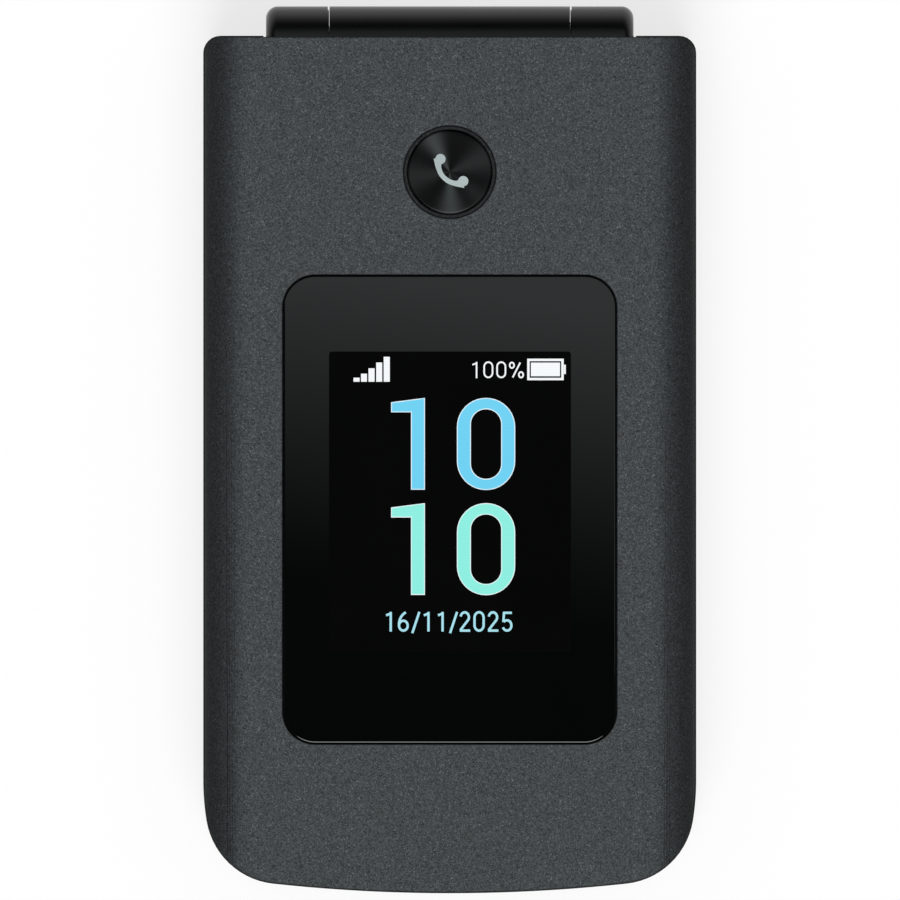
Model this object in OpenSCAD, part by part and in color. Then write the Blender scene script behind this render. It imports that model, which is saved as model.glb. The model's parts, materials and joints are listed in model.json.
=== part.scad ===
// Flip phone, closed, lying on its back with the lid up.
// +Y points to the hinge end and +Z up. The origin is below the middle of the phone, on the surface it lies on.
// Both thicknesses are sums of what is stacked inside, so a thicker battery or display makes a thicker phone.

/* [Body] */
// Width across both halves
body_w = 57.4; // [56:0.1:64]
// Length of the lid
lid_l = 99.85; // [98:0.05:110]
// Wall of the housings
wall = 1.3; // [1.2:0.05:1.6]
// Gap between the closed halves
parting_gap = 0.5; // [0.4:0.05:0.8]
// Step from the black lid frame in to the painted cover
rim = 0.2; // [0.1:0.05:0.3]

/* [Outline] */
// Radius of the shallow bow across the free end
bow_r = 191; // [150:1:260]
// Radius by which the sides ease in towards the free end
ease_r = 30; // [28:0.5:40]
// How far up from the free end the sides start to ease in
ease_l = 13.2; // [12.5:0.1:14]
// Radius of the corners at the free end
corner_r = 8.8; // [8:0.1:9.4]
// Radius of the corners at the hinge end
end_r = 2; // [1.7:0.1:2.5]
// Radius of the long top edges of the lid
lid_side_r = 5.5; // [4.6:0.1:6]
// Radius of the long bottom edges of the base
base_side_r = 4.6; // [4:0.1:5]
// Radius of the long edges beside the parting gap
soft_r = 0.5; // [0.3:0.05:0.7]

/* [Hinge] */
// Radius of the hinge barrel
hinge_r = 3.8; // [3.7:0.05:4.2]
// How far the lid's end lies past the hinge axis
lid_past = 0.35; // [0.2:0.05:0.5]
// Left end of the middle knuckle, from the phone's centre
knuckle_left = 14; // [13.6:0.1:14.4]
// Right end of the middle knuckle, from the phone's centre
knuckle_right = 14; // [13.6:0.1:14.4]
// Outer ends of the two ears, from the phone's centre
ear_end = 21.4; // [21.2:0.1:22]
// Gap between neighbouring knuckles
knuckle_gap = 0.2; // [0.15:0.05:0.3]
// Room round the barrel in the other half
recess_gap = 0.3; // [0.25:0.05:0.4]
// Wall of the hood round the barrel
hood_t = 1; // [0.8:0.1:1.2]
// Outer radius of the hinge cartridge
can_r = 2.9; // [2.8:0.05:3]
// Wall of the hinge cartridge
can_t = 0.45; // [0.35:0.05:0.5]
// Radius of the hinge shaft
shaft_r = 1.5; // [1.3:0.05:1.7]
// Wire of the hinge spring
wire_d = 0.5; // [0.4:0.05:0.6]
// Outer radius of the hollow pivot that the flex runs through
bush_r = 2; // [1.9:0.05:2.1]
// Wall of the hollow pivot
bush_t = 0.25; // [0.2:0.05:0.3]
// Running clearance of the hinge, on the radius
run_fit = 0.05; // [0.03:0.01:0.08]

/* [Outer display] */
// Width of the outer window
window_w = 38.7; // [37:0.1:40]
// Length of the outer window
window_l = 54.4; // [52:0.1:56]
// Corner radius of the outer window
window_r = 3.7; // [3:0.1:4.5]
// Middle of the outer window, from the lid's hinge end
window_at = 55.15; // [54:0.05:56]
// Thickness of the outer window
window_t = 1; // [0.8:0.05:1.2]
// How far the outer window lies below the cover
window_sink = 0.08; // [0.05:0.01:0.15]
// Ledge that the window is glued to
ledge_w = 1.6; // [1.2:0.1:2]
// Thickness of that ledge
ledge_t = 0.7; // [0.6:0.05:0.9]
// Thickness of the outer display module
outer_lcd_t = 1.75; // [1.6:0.05:2]
// Width of the outer display module
outer_lcd_w = 33; // [32:0.1:34]
// Length of the outer display module
outer_lcd_l = 46; // [44:0.1:47]

/* [Call button] */
// Diameter of the round button on the lid
button_d = 9.75; // [9:0.05:10.5]
// Width of the ring round it
ring_w = 0.44; // [0.4:0.02:0.6]
// Middle of the button, from the lid's hinge end
button_at = 15.91; // [15.5:0.01:17]
// Gap round the button
button_gap = 0.06; // [0.05:0.01:0.1]
// Travel of the button
button_travel = 0.25; // [0.2:0.01:0.3]

/* [Lid inside] */
// Floor of the lid frame, which faces the keypad
lid_floor_t = 1.2; // [1.1:0.05:1.4]
// Thickness of the main display module
main_lcd_t = 2.2; // [2:0.05:2.5]
// Width of the main display module
main_lcd_w = 50; // [48:0.1:50.5]
// Length of the main display module
main_lcd_l = 69.2; // [66:0.1:70]
// Width of the main window
main_window_w = 51.4; // [50.6:0.1:52]
// Length of the main window
main_window_l = 76; // [74:0.1:77]
// Middle of the main display and window, from the lid's hinge end
main_lcd_at = 51.6; // [51:0.05:52]
// Thickness of the main window
main_window_t = 0.8; // [0.7:0.05:0.9]
// Thickness of the lid's circuit board
lid_board_t = 0.7; // [0.6:0.05:0.8]
// Diameter of the rubber bumpers
bumper_d = 3; // [2.6:0.1:3.4]

/* [Keypad] */
// Thickness of the deck that the keys come through
deck_t = 1.35; // [1.2:0.05:1.6]
// Width of a number key
key_w = 15; // [14:0.1:15.4]
// Length of a number key
key_l = 10.4; // [9.6:0.1:10.8]
// Spacing of the key columns
key_pitch_x = 17; // [16.8:0.1:17.4]
// Spacing of the key rows
key_pitch_y = 12.6; // [12.2:0.1:12.8]
// Corner radius of the keys
key_r = 2; // [1:0.1:3]
// Gap round a key in its opening
key_gap = 0.2; // [0.15:0.01:0.25]
// How far the keys stand above the deck
key_proud = 0.15; // [0.1:0.01:0.2]
// Height of the flange that holds a key in
flange_t = 0.45; // [0.35:0.05:0.6]
// How far the flange reaches under the deck
flange_w = 0.6; // [0.5:0.05:0.65]
// Free room under a key, a little more than its travel
key_room = 0.3; // [0.28:0.01:0.4]
// Middle of the first number row, from the base's hinge end
rows_at = 44.85; // [44.5:0.05:45.5]
// Width of the four side function keys
side_key_w = 13; // [12:0.1:13.2]
// Length of the four side function keys
side_key_l = 8.6; // [8:0.1:9]
// Middle of the side function keys, from the centre line
side_key_x = 17.9; // [17.6:0.1:18.1]
// Diameter of the navigation ring
nav_d = 19; // [18:0.1:19.4]
// Diameter of the key inside it
ok_d = 8; // [7.6:0.1:8.2]

/* [Base inside] */
// Thickness of the battery door
door_t = 1.2; // [1:0.05:1.4]
// Length of the battery door
door_l = 75.65; // [74:0.05:77]
// Height of the door's turned-up edge
door_side_h = 3; // [2.6:0.1:3.4]
// Gap between the door and the rear housing
door_gap = 0.1; // [0.08:0.01:0.15]
// Battery width
battery_w = 43.4; // [42:0.1:44]
// Battery length
battery_l = 50; // [48:0.1:50.5]
// Battery thickness
battery_t = 4.8; // [4.4:0.1:5.4]
// Lower end of the battery, from the free end
battery_at = 9.65; // [9.4:0.05:10]
// Room above and below the battery
battery_gap = 0.1; // [0.05:0.01:0.15]
// Plate above the battery
plate_t = 0.7; // [0.6:0.05:0.9]
// Thickness of the main board
board_t = 0.8; // [0.7:0.05:1]
// Film of the dome sheet
film_t = 0.1; // [0.08:0.01:0.15]
// Height of a dome
dome_h = 0.25; // [0.2:0.01:0.3]
// Diameter of a dome
dome_d = 4.4; // [4:0.1:5]
// Thickness of the rubber key mat
mat_t = 0.35; // [0.3:0.05:0.5]
// Diameter of the coin motor
motor_d = 8; // [7:0.1:8.2]
// Diameter of the camera window
lens_d = 8.6; // [8:0.1:9]
// Bore of the headphone socket
jack_d = 3.56; // [3.5:0.01:3.6]

/* [Side keys and screws] */
// Length of the volume rocker
rocker_l = 14.4; // [13:0.1:15]
// Height of the volume rocker
rocker_h = 1.8; // [1.6:0.1:2]
// Thread diameter of the screws
screw_d = 1.4; // [1.2:0.1:1.6]
// Head diameter of the screws
head_d = 2.6; // [2.4:0.1:2.8]
// Head height of the screws
head_h = 0.6; // [0.4:0.05:0.7]

/* [Hidden] */
$fn = 64;

// Facets of the outline's arcs
end_facets = 6;
ease_facets = 8;
corner_facets = 14;
bow_facets = 10;

// Small clearances
fit = 0.1;
press = 0.02;
lcd_clear = 0.07;

// How far a cut runs past the face it opens, and the step that keeps a full round end's flats from vanishing
cut = 1;
tangent = 0.01;

// Along the phone
total_l = lid_l - lid_past + hinge_r;
y_free = -total_l/2;
hinge_y = total_l/2 - hinge_r;
lid_end = y_free + lid_l;
base_back = 0.45;
base_end = hinge_y - base_back;
half_w = body_w/2;
far = total_l;

// Up through the base
battery_z = door_t + battery_gap;
plate_z = battery_z + battery_t + battery_gap;
plate_step = 0.2;
split_z = plate_z - plate_step;
board_z = plate_z + plate_t;
film_z = board_z + board_t;
dome_z = film_z + film_t;
mat_z = dome_z + dome_h;
flange_z = mat_z + mat_t + key_room;
deck_z = flange_z + flange_t + fit;
base_top = deck_z + deck_t;
hinge_z = base_top + parting_gap/2;

// Up through the lid
lid_z = base_top + parting_gap;
lid_floor_z = lid_z + lid_floor_t;
cover_z = lid_floor_z + 0.3;
lid_board_z = lid_floor_z + main_lcd_t;
outer_lcd_z = lid_board_z + lid_board_t;
ledge_z = outer_lcd_z + outer_lcd_t + lcd_clear;
window_z = ledge_z + ledge_t;
lid_top = window_z + window_t + window_sink;
roof_z = lid_top - wall;

// Hinge
recess_r = hinge_r + recess_gap;
hood_r = recess_r + hood_t;
hood_x = ear_end + recess_gap + hood_t;
ear_left = knuckle_left + knuckle_gap;
ear_right = knuckle_right + knuckle_gap;
ear_round = 1.4;
shoulder_r = hinge_r - 0.4;
shoulder_t = knuckle_gap - 0.06;
cap_t = 0.8;
cap_r = 2.2;
can_x = -knuckle_left + knuckle_gap;
can_l = 15.6;
can_cap = 0.7;
can_bore_r = can_r - can_t;
shaft_x = -ear_end + cap_t + 0.6;
shaft_flat = 0.45;
cam_x = can_x + can_cap + fit;
cam_t = 1;
tooth_h = 0.7;
tooth_a = 20;
open_a = 160;
follower_l = 3;
guide_r = 0.8;
flat_y = can_bore_r - 0.35;
spring_x = cam_x + cam_t + follower_l + 2*run_fit;
spring_end = can_x + can_l - can_cap;
spring_turns = 7;
coil_r = flat_y - wire_d/2 - fit;
bush_x = 9.4;
bush_end = ear_end - cap_t - 0.2;
bore_x = 4.6;
flex_t = 0.12;
flex_w = 3.4;
flex_r = bush_r - bush_t - 0.05;
flex_slot = 0.8;
lid_flex_x = 5.2;
base_flex_x = 15.8;
flex_past = 0.8;
flex_bend = 0.3;
coils_meet = (lid_flex_x + base_flex_x + flex_w)/2;
coil_turn = 310;

// Lid layout
window_y = lid_end - window_at;
button_y = lid_end - button_at;
main_lcd_y = lid_end - main_lcd_at;
ring_r = button_d/2 + button_gap + ring_w;
ring_flange = 0.8;
ring_proud = 0.05;
ring_flange_t = 0.6;
button_flange_t = 0.6;
button_z = roof_z - ring_flange_t - fit - button_flange_t;
lid_dome_h = 0.3;
lid_lip_t = 0.8;
lid_lip_h = 1.2;
lcd_r = 0.7;
lcd_bezel = 2.5;
lcd_foot = 1.5;
outer_lcd_foot = 1;
glass_sink = 0.4;
view_margin = 2;
main_window_r = 2;
lid_board_y = [main_lcd_y - main_lcd_l/2 - 1.5, main_lcd_y + main_lcd_l/2 + 7.5];
earpiece_in = 7.05;
earpiece_y = y_free + earpiece_in;
mesh_border = 0.45;
mesh_sink = 0.15;
mesh_t = 0.25;
magnet_at = [14.5, earpiece_y];
magnet_size = [5, 2.4, 1.4];
connector_l = 2.6;
lid_board_in = 1;
connector_h = 0.9;
connector_side = 0.5;
lid_connector_y = lid_end - 8.4;
earpiece_size = [12, 5.5, 2.6];
ear_slot = [11, 1.4];
lid_screws_at = [for (x = [-24, 24], y = [lid_end - 10.7, y_free + 7.15]) [sign(x)*(half_w - 4.7), y]];
screw_boss_r = 2;
lid_screw_l = 3.6;
bumper_at = [16, y_free + 3.35];
bumper_gap = 0.1;
bumper_hold = 0.5;

// Keypad layout
rows_y = hinge_y - rows_at;
nav_y = rows_y + 21;
soft_y = rows_y + 28.2;
call_y = rows_y + 14.2;
nav_hub = 4.9;
nav_tilt_gap = 0.27;
nav_step = 0.8;
ok_flange_w = 1.2;
ok_flange_t = 0.3;
key_edge = 0.2;
function key_at(i) = [(i % 3 - 1)*key_pitch_x, rows_y - floor(i/3)*key_pitch_y];
side_keys_at = [[-side_key_x, soft_y], [side_key_x, soft_y], [-side_key_x, call_y], [side_key_x, call_y]];

// Base layout
door_y = y_free + door_l;
inner_skin = 1.2;
bay_w = battery_w + 4*fit;
bay_l = battery_l + 2*fit;
battery_y = y_free + battery_at + battery_l/2;
bay_wall = 1;
lip_t = 1.2;
lip_root = 0.3;
lip_z = plate_z - 1.6;
contact_y = battery_y + bay_l/2;
contact_w = 10;
contact_l = 2.6;
contact_lift = 0.6;
contact_pitch = 3;
pad_w = 1.8;
pad_sink = 0.4;
blade_w = 1;
sim_size = [12.3, 8.8, 0.67];
sim_at = [-14.5, door_y - 6.9];
sim_room = [14, 10.2];
sim_depth = 1.9;
sim_border = 2.4;
sim_tab_h = 1.6;
camera_y = hinge_y - 11.85;
camera_s = 8.6;
barrel_r = 2.9;
speaker_at = [-14.5, hinge_y - 15.35];
speaker_size = [15, 11];
speaker_mesh_t = 0.2;
motor_at = [12.5, hinge_y - 9.65];
motor_t = 2.7;
jack_y = hinge_y - 16.85;
jack_box = [11.7, 6, 5];
usb_y = door_y - 7;
usb_w = 8.94;
usb_h = 3.16;
usb_l = 7.3;
usb_x = half_w - 0.25;
rocker_y = door_y - 8;
rocker_low = 0.3;
rocker_z = film_z - rocker_low;
rocker_sink = 0.2;
rocker_gap = 0.2;
rocker_room = 0.25;
rocker_back_t = 0.4;
rocker_rib_r = 0.4;
rocker_lip = 0.35;
base_screws_at = [for (x = [-1, 1])
    each [[x*(half_w - 5.1), y_free + 6.05], [x*(half_w - 5.6), hinge_y - 8.55]]];
head_z = 1.4;
base_screw_l = 6.6;
board_inset = 3.2;
board_end = hinge_y - hood_r - 0.75;
mat_margin = 6.3;
mat_half_w = half_w - mat_margin;
mic_y = y_free + 4.6;
mic_d = 3.2;
mic_h = 1;
mic_hole_r = 0.5;
base_connector_y = hinge_y - hood_r - 1.3;
switch_h = 0.6;
switch_at = 4.6;
switch_gap = 1.1;
switch_size = [1.8, 3.2];
mat_y0 = rows_y - 3*key_pitch_y - key_l/2 - 1.5;
mat_y1 = soft_y + side_key_l/2;
shield_size = [20, 12.6, 1.5];
shield_at = [6.5, door_y - 6.8];

// ---------- Shapes shared by the pieces ----------

// Centre of the free-end corner: on both the inset easing arc and the inset bow
function corner_centre() =
    let (s = [half_w - ease_r, y_free + ease_l], b = [0, y_free + bow_r],
         r1 = ease_r - corner_r, r2 = bow_r - corner_r, v = b - s, d = norm(v),
         a = (r1*r1 - r2*r2 + d*d)/(2*d), h = sqrt(r1*r1 - a*a), u = v/d)
    s + a*u + h*[u[1], -u[0]];

function arc(c, r, a0, a1, n) = [for (i = [0:n]) c + r*[cos(a0 + (a1 - a0)*i/n), sin(a0 + (a1 - a0)*i/n)]];

function tail(v) = [for (i = [1:len(v) - 1]) v[i]];

// Outline seen from above, moved in by inset: hinge-end corner, easing side, free-end corner and half the bow,
// then the same mirrored. Neighbouring arcs meet on the line through both their centres.
module plan(inset = 0, y_end = lid_end) {
    r = max(end_r - inset, 0.4);
    ease = [half_w - ease_r, y_free + ease_l];
    bow = [0, y_free + bow_r];
    corner = corner_centre();
    a_ease = atan2(corner[1] - ease[1], corner[0] - ease[0]);
    a_bow = atan2(corner[1] - bow[1], corner[0] - bow[0]);
    right = concat(
        arc([half_w - inset - r, y_end - inset - r], r, 90, 0, end_facets),
        arc(ease, ease_r - inset, 0, a_ease, ease_facets),
        tail(arc(corner, corner_r - inset, a_ease, a_bow, corner_facets)),
        tail(arc(bow, bow_r - inset, a_bow, -90, bow_facets)));
    polygon(concat(right, [for (i = [len(right) - 2:-1:0]) [-right[i][0], right[i][1]]]));
}

// Cross-section of a half, with its own radius for the low and the high edges
module side_profile(inset, low_r, high_r, z0, z1) {
    w = half_w - inset;
    translate([-w, z0 + low_r]) square([2*w, z1 - z0 - low_r - high_r]);
    translate([-w + low_r, z0]) square([2*(w - low_r), (z1 - z0)/2]);
    translate([-w + high_r, (z0 + z1)/2]) square([2*(w - high_r), (z1 - z0)/2]);
    for (k = [-1, 1]) {
        translate([k*(w - low_r), z0 + low_r]) circle(low_r);
        translate([k*(w - high_r), z1 - high_r]) circle(high_r);
    }
}

module along_y(y0, y1) translate([0, y1, 0]) rotate([90, 0, 0]) linear_extrude(y1 - y0) children();

// Extrudes along the hinge axis from x0 to x1; the drawing's x is the phone's +Y, its y is +Z
module along_hinge(x0, x1)
    translate([x0, hinge_y, hinge_z]) rotate([90, 0, 90]) linear_extrude(x1 - x0) children();

module rod(x0, x1, r) along_hinge(x0, x1) circle(r);

// Barrel with rounded ends, turned about the hinge axis
module barrel(x0, x1, r0, r1) translate([x0, hinge_y, hinge_z]) rotate([0, 90, 0]) rotate_extrude() {
    translate([0, r0]) square([hinge_r, x1 - x0 - r0 - r1]);
    square([hinge_r - max(r0, r1), x1 - x0]);
    if (r0 > 0) translate([hinge_r - r0, r0]) circle(r0);
    if (r1 > 0) translate([hinge_r - r1, x1 - x0 - r1]) circle(r1);
}

module wedge(a0, a1, r) polygon([[0, 0], for (i = [0:6]) r*[cos(a0 + (a1 - a0)*i/6), sin(a0 + (a1 - a0)*i/6)]]);

module rounded(w, l, r) {
    square([w - 2*r, l], center = true);
    square([w, l - 2*r], center = true);
    for (x = [-1, 1], y = [-1, 1]) translate([x*(w/2 - r), y*(l/2 - r)]) circle(r);
}

module slab(at, w, l, r, z0, z1) translate([at[0], at[1], z0]) linear_extrude(z1 - z0) rounded(w, l, r);

module block(x0, x1, y0, y1, z0, z1) translate([x0, y0, z0]) cube([x1 - x0, y1 - y0, z1 - z0]);

module disc(at, r, z0, z1) translate([at[0], at[1], z0]) cylinder(r = r, h = z1 - z0);

// Solid of the lid from z0 to a roof at z1
module lid_solid(inset, z0, z1) intersection() {
    translate([0, 0, z0]) linear_extrude(z1 - z0) plan(inset);
    along_y(-far, far) side_profile(inset, soft_r, lid_side_r - (lid_top - z1), lid_z, z1);
}

// Solid of the base from its inset skin up to z1
module base_solid(inset, z0, z1) intersection() {
    translate([0, 0, z0]) linear_extrude(z1 - z0) plan(inset, base_end);
    along_y(-far, far) side_profile(inset, max(base_side_r - inset, 0.6), soft_r, inset, base_top);
}

module ring_between(inset0, inset1, y_end, z0, z1) translate([0, 0, z0]) linear_extrude(z1 - z0) difference() {
    plan(inset0, y_end);
    plan(inset1, y_end);
}

module hood(y_end, z0, z1) intersection() {
    rod(-hood_x, hood_x, hood_r);
    block(-half_w, half_w, hinge_y - 2*hood_r, y_end, z0, z1);
}

module screw(at, head_z, length) {
    disc(at, head_d/2, head_z, head_z + head_h);
    disc(at, screw_d/2, head_z + head_h, head_z + head_h + length);
}

// ---------- Lid ----------

module lid_cover() color([0.27, 0.28, 0.29]) difference() {
    union() {
        difference() {
            lid_solid(rim, cover_z, lid_top);
            lid_solid(rim + wall, cover_z - cut, roof_z);
        }
        slab([0, window_y], window_w + 2*wall, window_l + 2*wall, window_r + wall, ledge_z, roof_z + fit);
        for (p = lid_screws_at) disc(p, screw_boss_r, lid_floor_z, roof_z + fit);
    }
    slab([0, window_y], window_w + 2*fit, window_l + 2*fit, window_r + fit, window_z, lid_top + 1);
    slab([0, window_y], window_w - 2*ledge_w, window_l - 2*ledge_w, window_r - ledge_w, ledge_z - 1, lid_top);
    disc([0, button_y], ring_r + press, roof_z - cut, lid_top + cut);
    main_display_seat();
    for (p = lid_screws_at) disc(p, screw_d/2 + press, lid_floor_z - cut, lid_floor_z + lid_screw_l);
    rod(-hood_x - fit, hood_x + fit, hood_r + fit);
}

module main_display_seat() slab([0, main_lcd_y], main_lcd_w + 2*fit, main_lcd_l + 2*fit, lcd_r + fit,
                                lid_floor_z, lid_board_z + fit);

module lid_frame() color([0.09, 0.09, 0.1]) difference() {
    union() {
        difference() {
            intersection() {
                translate([0, 0, lid_z]) linear_extrude(cover_z - lid_z) plan(0);
                along_y(-far, far) side_profile(0, soft_r, soft_r, lid_z, lid_top);
            }
            translate([0, 0, lid_floor_z]) linear_extrude(lid_floor_t) plan(rim + wall);
        }
        difference() {
            ring_between(rim + wall + fit, rim + wall + fit + lid_lip_t, lid_end,
                         lid_floor_z - fit, lid_floor_z + lid_lip_h);
            for (p = lid_screws_at) disc(p, screw_boss_r + fit, lid_floor_z, lid_top);
        }
        hood(lid_end - rim, lid_z, lid_top - wall);
        barrel(-knuckle_left, knuckle_right, 0, 0);
    }
    // The ears of the base turn in here
    rod(-ear_end - recess_gap, -knuckle_left, recess_r);
    rod(knuckle_right, ear_end + recess_gap, recess_r);
    // Seats of the hinge cartridge and of the hollow pivot
    rod(-knuckle_left - 1, can_x + can_l + press, can_r + press);
    rod(bore_x, knuckle_right + 1, bush_r + run_fit);
    block(lid_flex_x - fit, lid_flex_x + flex_w + fit, hinge_y - hood_r - 1, hinge_y,
          hinge_z + flex_r - flex_slot/2, hinge_z + flex_r + flex_slot/2);
    main_display_seat();
    // Main window and the opening behind it
    slab([0, main_lcd_y], main_window_w + 2*fit, main_window_l + 2*fit, main_window_r + fit, lid_z - cut,
         lid_z + main_window_t + fit/2);
    slab([0, main_lcd_y], main_lcd_w - 2*view_margin, main_lcd_l - 2*view_margin, 1, lid_z, lid_floor_z + cut);
    // Sound slot with a seat for its mesh
    stadium(earpiece_y, 0, lid_z - cut, lid_floor_z + cut);
    stadium(earpiece_y, mesh_border + fit/2, lid_z - cut, lid_z + mesh_sink + mesh_t);
    for (k = [-1, 1]) disc([k*bumper_at[0], bumper_at[1]], bumper_d/2 + press, lid_z - cut, lid_z + bumper_hold);
    for (p = lid_screws_at) {
        disc(p, head_d/2 + fit, lid_z - cut, lid_z + head_h + fit);
        disc(p, screw_d/2 + fit, lid_z, lid_floor_z + cut);
    }
}

// Sound slot of the earpiece, or with a border the mesh behind it
module stadium(y, border, z0, z1)
    slab([0, y], ear_slot[0] + 2*border, ear_slot[1] + 2*border, ear_slot[1]/2 + border - tangent, z0, z1);

module outer_window() color([0.02, 0.03, 0.03])
    slab([0, window_y], window_w, window_l, window_r, window_z, window_z + window_t);

module outer_display() color([0.1, 0.12, 0.13]) {
    top = outer_lcd_z + outer_lcd_t;
    slab([0, window_y], outer_lcd_w, outer_lcd_l, lcd_r, outer_lcd_z, top - glass_sink);
    slab([0, window_y + outer_lcd_foot], outer_lcd_w - 2*outer_lcd_foot, outer_lcd_l - 4*outer_lcd_foot, 0.4,
         top - 2*glass_sink, top);
}

module main_window() color([0.03, 0.03, 0.04])
    slab([0, main_lcd_y], main_window_w, main_window_l, main_window_r,
         lid_z + fit/2, lid_z + fit/2 + main_window_t);

module main_display() color([0.14, 0.15, 0.17]) difference() {
    slab([0, main_lcd_y], main_lcd_w, main_lcd_l, lcd_r, lid_floor_z, lid_board_z);
    slab([0, main_lcd_y + lcd_foot], main_lcd_w - 2*lcd_bezel, main_lcd_l - 2*lcd_bezel - 2*lcd_foot, 0.4,
         lid_floor_z - cut, lid_floor_z + glass_sink);
}

module lid_board() color([0.05, 0.25, 0.14]) {
    difference() {
        slab([0, (lid_board_y[0] + lid_board_y[1])/2], main_lcd_w - 2*lid_board_in, lid_board_y[1] - lid_board_y[0], 1,
             lid_board_z, outer_lcd_z);
        for (p = lid_screws_at) disc(p, screw_boss_r + 2*fit, lid_floor_z, lid_top);
    }
    // Dome under the call button, and the connector of the flex below the board
    disc([0, button_y], dome_d/2, outer_lcd_z, outer_lcd_z + lid_dome_h);
    block(lid_flex_x - connector_side, lid_flex_x + flex_w + connector_side, lid_connector_y - connector_l,
          lid_connector_y, lid_board_z - connector_h, lid_board_z);
}

module call_button_ring() color([0.14, 0.14, 0.14]) translate([0, button_y, 0]) rotate_extrude() {
    translate([button_d/2 + button_gap, roof_z - ring_flange_t])
        square([ring_w, wall + ring_flange_t + ring_proud - ring_w/2]);
    translate([button_d/2 + button_gap, roof_z - ring_flange_t])
        square([ring_w + ring_flange, ring_flange_t]);
    translate([button_d/2 + button_gap + ring_w/2, lid_top + ring_proud - ring_w/2]) circle(ring_w/2, $fn = 24);
}

module call_button() color([0.05, 0.05, 0.05]) translate([0, button_y, 0]) rotate_extrude() {
    polygon([[0, button_z], [button_d/2 + ring_w, button_z], [button_d/2 + ring_w, button_z + button_flange_t],
             [button_d/2, button_z + button_flange_t], [button_d/2, lid_top - 0.2],
             [button_d/2 - 0.2, lid_top - 0.04], [0, lid_top - 0.12]]);
    translate([0, outer_lcd_z + lid_dome_h + button_travel + fit/2])
        square([1.4, button_z - outer_lcd_z - lid_dome_h - button_travel]);
}

module earpiece() color([0.3, 0.3, 0.32])
    slab([0, earpiece_y], earpiece_size[0], earpiece_size[1], 0.8, lid_floor_z, lid_floor_z + earpiece_size[2]);

module earpiece_mesh() color([0.45, 0.46, 0.48])
    stadium(earpiece_y, mesh_border, lid_z + mesh_sink, lid_z + mesh_sink + mesh_t);

module lid_bumpers() color([0.12, 0.12, 0.12]) for (k = [-1, 1])
    disc([k*bumper_at[0], bumper_at[1]], bumper_d/2, base_top + bumper_gap, lid_z + bumper_hold);

module lid_screws() color([0.5, 0.5, 0.52]) for (p = lid_screws_at) screw(p, lid_z + fit, lid_screw_l - 0.6);

module lid_magnet() color([0.6, 0.6, 0.62])
    slab(magnet_at, magnet_size[0], magnet_size[1], 0.3, lid_floor_z, lid_floor_z + magnet_size[2]);

// ---------- Hinge cartridge and flex ----------

module hinge_housing() color([0.62, 0.63, 0.65]) difference() {
    rod(can_x, can_x + can_l, can_r);
    rod(can_x - 1, can_x + can_cap + 1, shaft_r + run_fit);
    rod(can_x + can_cap, cam_x + cam_t + run_fit/2, can_bore_r);
    along_hinge(can_x + can_cap, spring_end) intersection() {
        circle(can_bore_r);
        square([4*can_r, 2*flat_y], center = true);
    }
}

// The shaft is held in the left ear; its tooth turns in the follower's pocket and stops the lid at its ends
module hinge_shaft() color([0.7, 0.7, 0.72]) {
    along_hinge(shaft_x, -ear_left + fit) intersection() {
        circle(shaft_r);
        translate([-shaft_r, -shaft_r + shaft_flat]) square(4*shaft_r);
    }
    rod(-ear_left, cam_x + 0.1, shaft_r);
    rod(cam_x, cam_x + cam_t, can_bore_r - run_fit);
    along_hinge(cam_x + cam_t - 0.1, cam_x + cam_t + tooth_h) intersection() {
        difference() {
            circle(flat_y - 0.15);
            circle(guide_r);
        }
        wedge(-tooth_a/2, tooth_a/2, 2*can_r);
    }
    rod(cam_x + cam_t - 0.1, spring_end - fit, guide_r);
}

module hinge_follower() color([0.55, 0.55, 0.57]) difference() {
    along_hinge(cam_x + cam_t + run_fit, cam_x + cam_t + follower_l) intersection() {
        circle(can_bore_r - run_fit);
        square([4*can_r, 2*(flat_y - run_fit)], center = true);
    }
    rod(cam_x, spring_end, guide_r + run_fit);
    along_hinge(cam_x, cam_x + cam_t + tooth_h + run_fit) intersection() {
        circle(flat_y - 0.1);
        wedge(-tooth_a/2 - 1, open_a + tooth_a/2 + 1, 2*can_r);
    }
}

// One ring of the spring's wire, at turn t
function wire_ring(t, x, sides) = [for (i = [0:sides - 1])
    let (a = 360*i/sides, r = coil_r + wire_d/2*cos(a))
    [x + wire_d/2*sin(a), hinge_y + r*cos(360*t), hinge_z + r*sin(360*t)]];

module hinge_spring() color([0.75, 0.75, 0.77]) {
    sides = 6;
    steps = 14*spring_turns;
    x0 = spring_x + wire_d/2;
    x1 = spring_end - wire_d/2 - run_fit;
    rings = [for (k = [0:steps]) wire_ring(k*spring_turns/steps, x0 + (x1 - x0)*k/steps, sides)];
    polyhedron(
        points = [for (ring = rings) each ring],
        faces = [
            [for (i = [0:sides - 1]) i],
            [for (i = [sides - 1:-1:0]) steps*sides + i],
            for (k = [0:steps - 1], i = [0:sides - 1])
                let (j = (i + 1) % sides, a = k*sides + i, b = k*sides + j)
                each [[a, a + sides, b], [b, a + sides, b + sides]]
        ]
    );
}

module coil(x0, x1, a0, a1) along_hinge(x0, x1) intersection() {
    difference() {
        circle(flex_r);
        circle(flex_r - flex_t);
    }
    wedge(a0, a1, 2*flex_r);
}

// Side view of a flex: level from the hinge axis to y0, down or up to its connector, which it ends on at height z
module flex_strip(z0, t, y0, y1, z) polygon([
    [0, z0], [0, z0 + t], [y0, z0 + t], [y1 - flex_bend, z + t], [y1 - connector_l + flex_bend, z + t],
    [y1 - connector_l + flex_bend, z], [y1 - flex_bend, z], [y0, z0]]);

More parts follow.
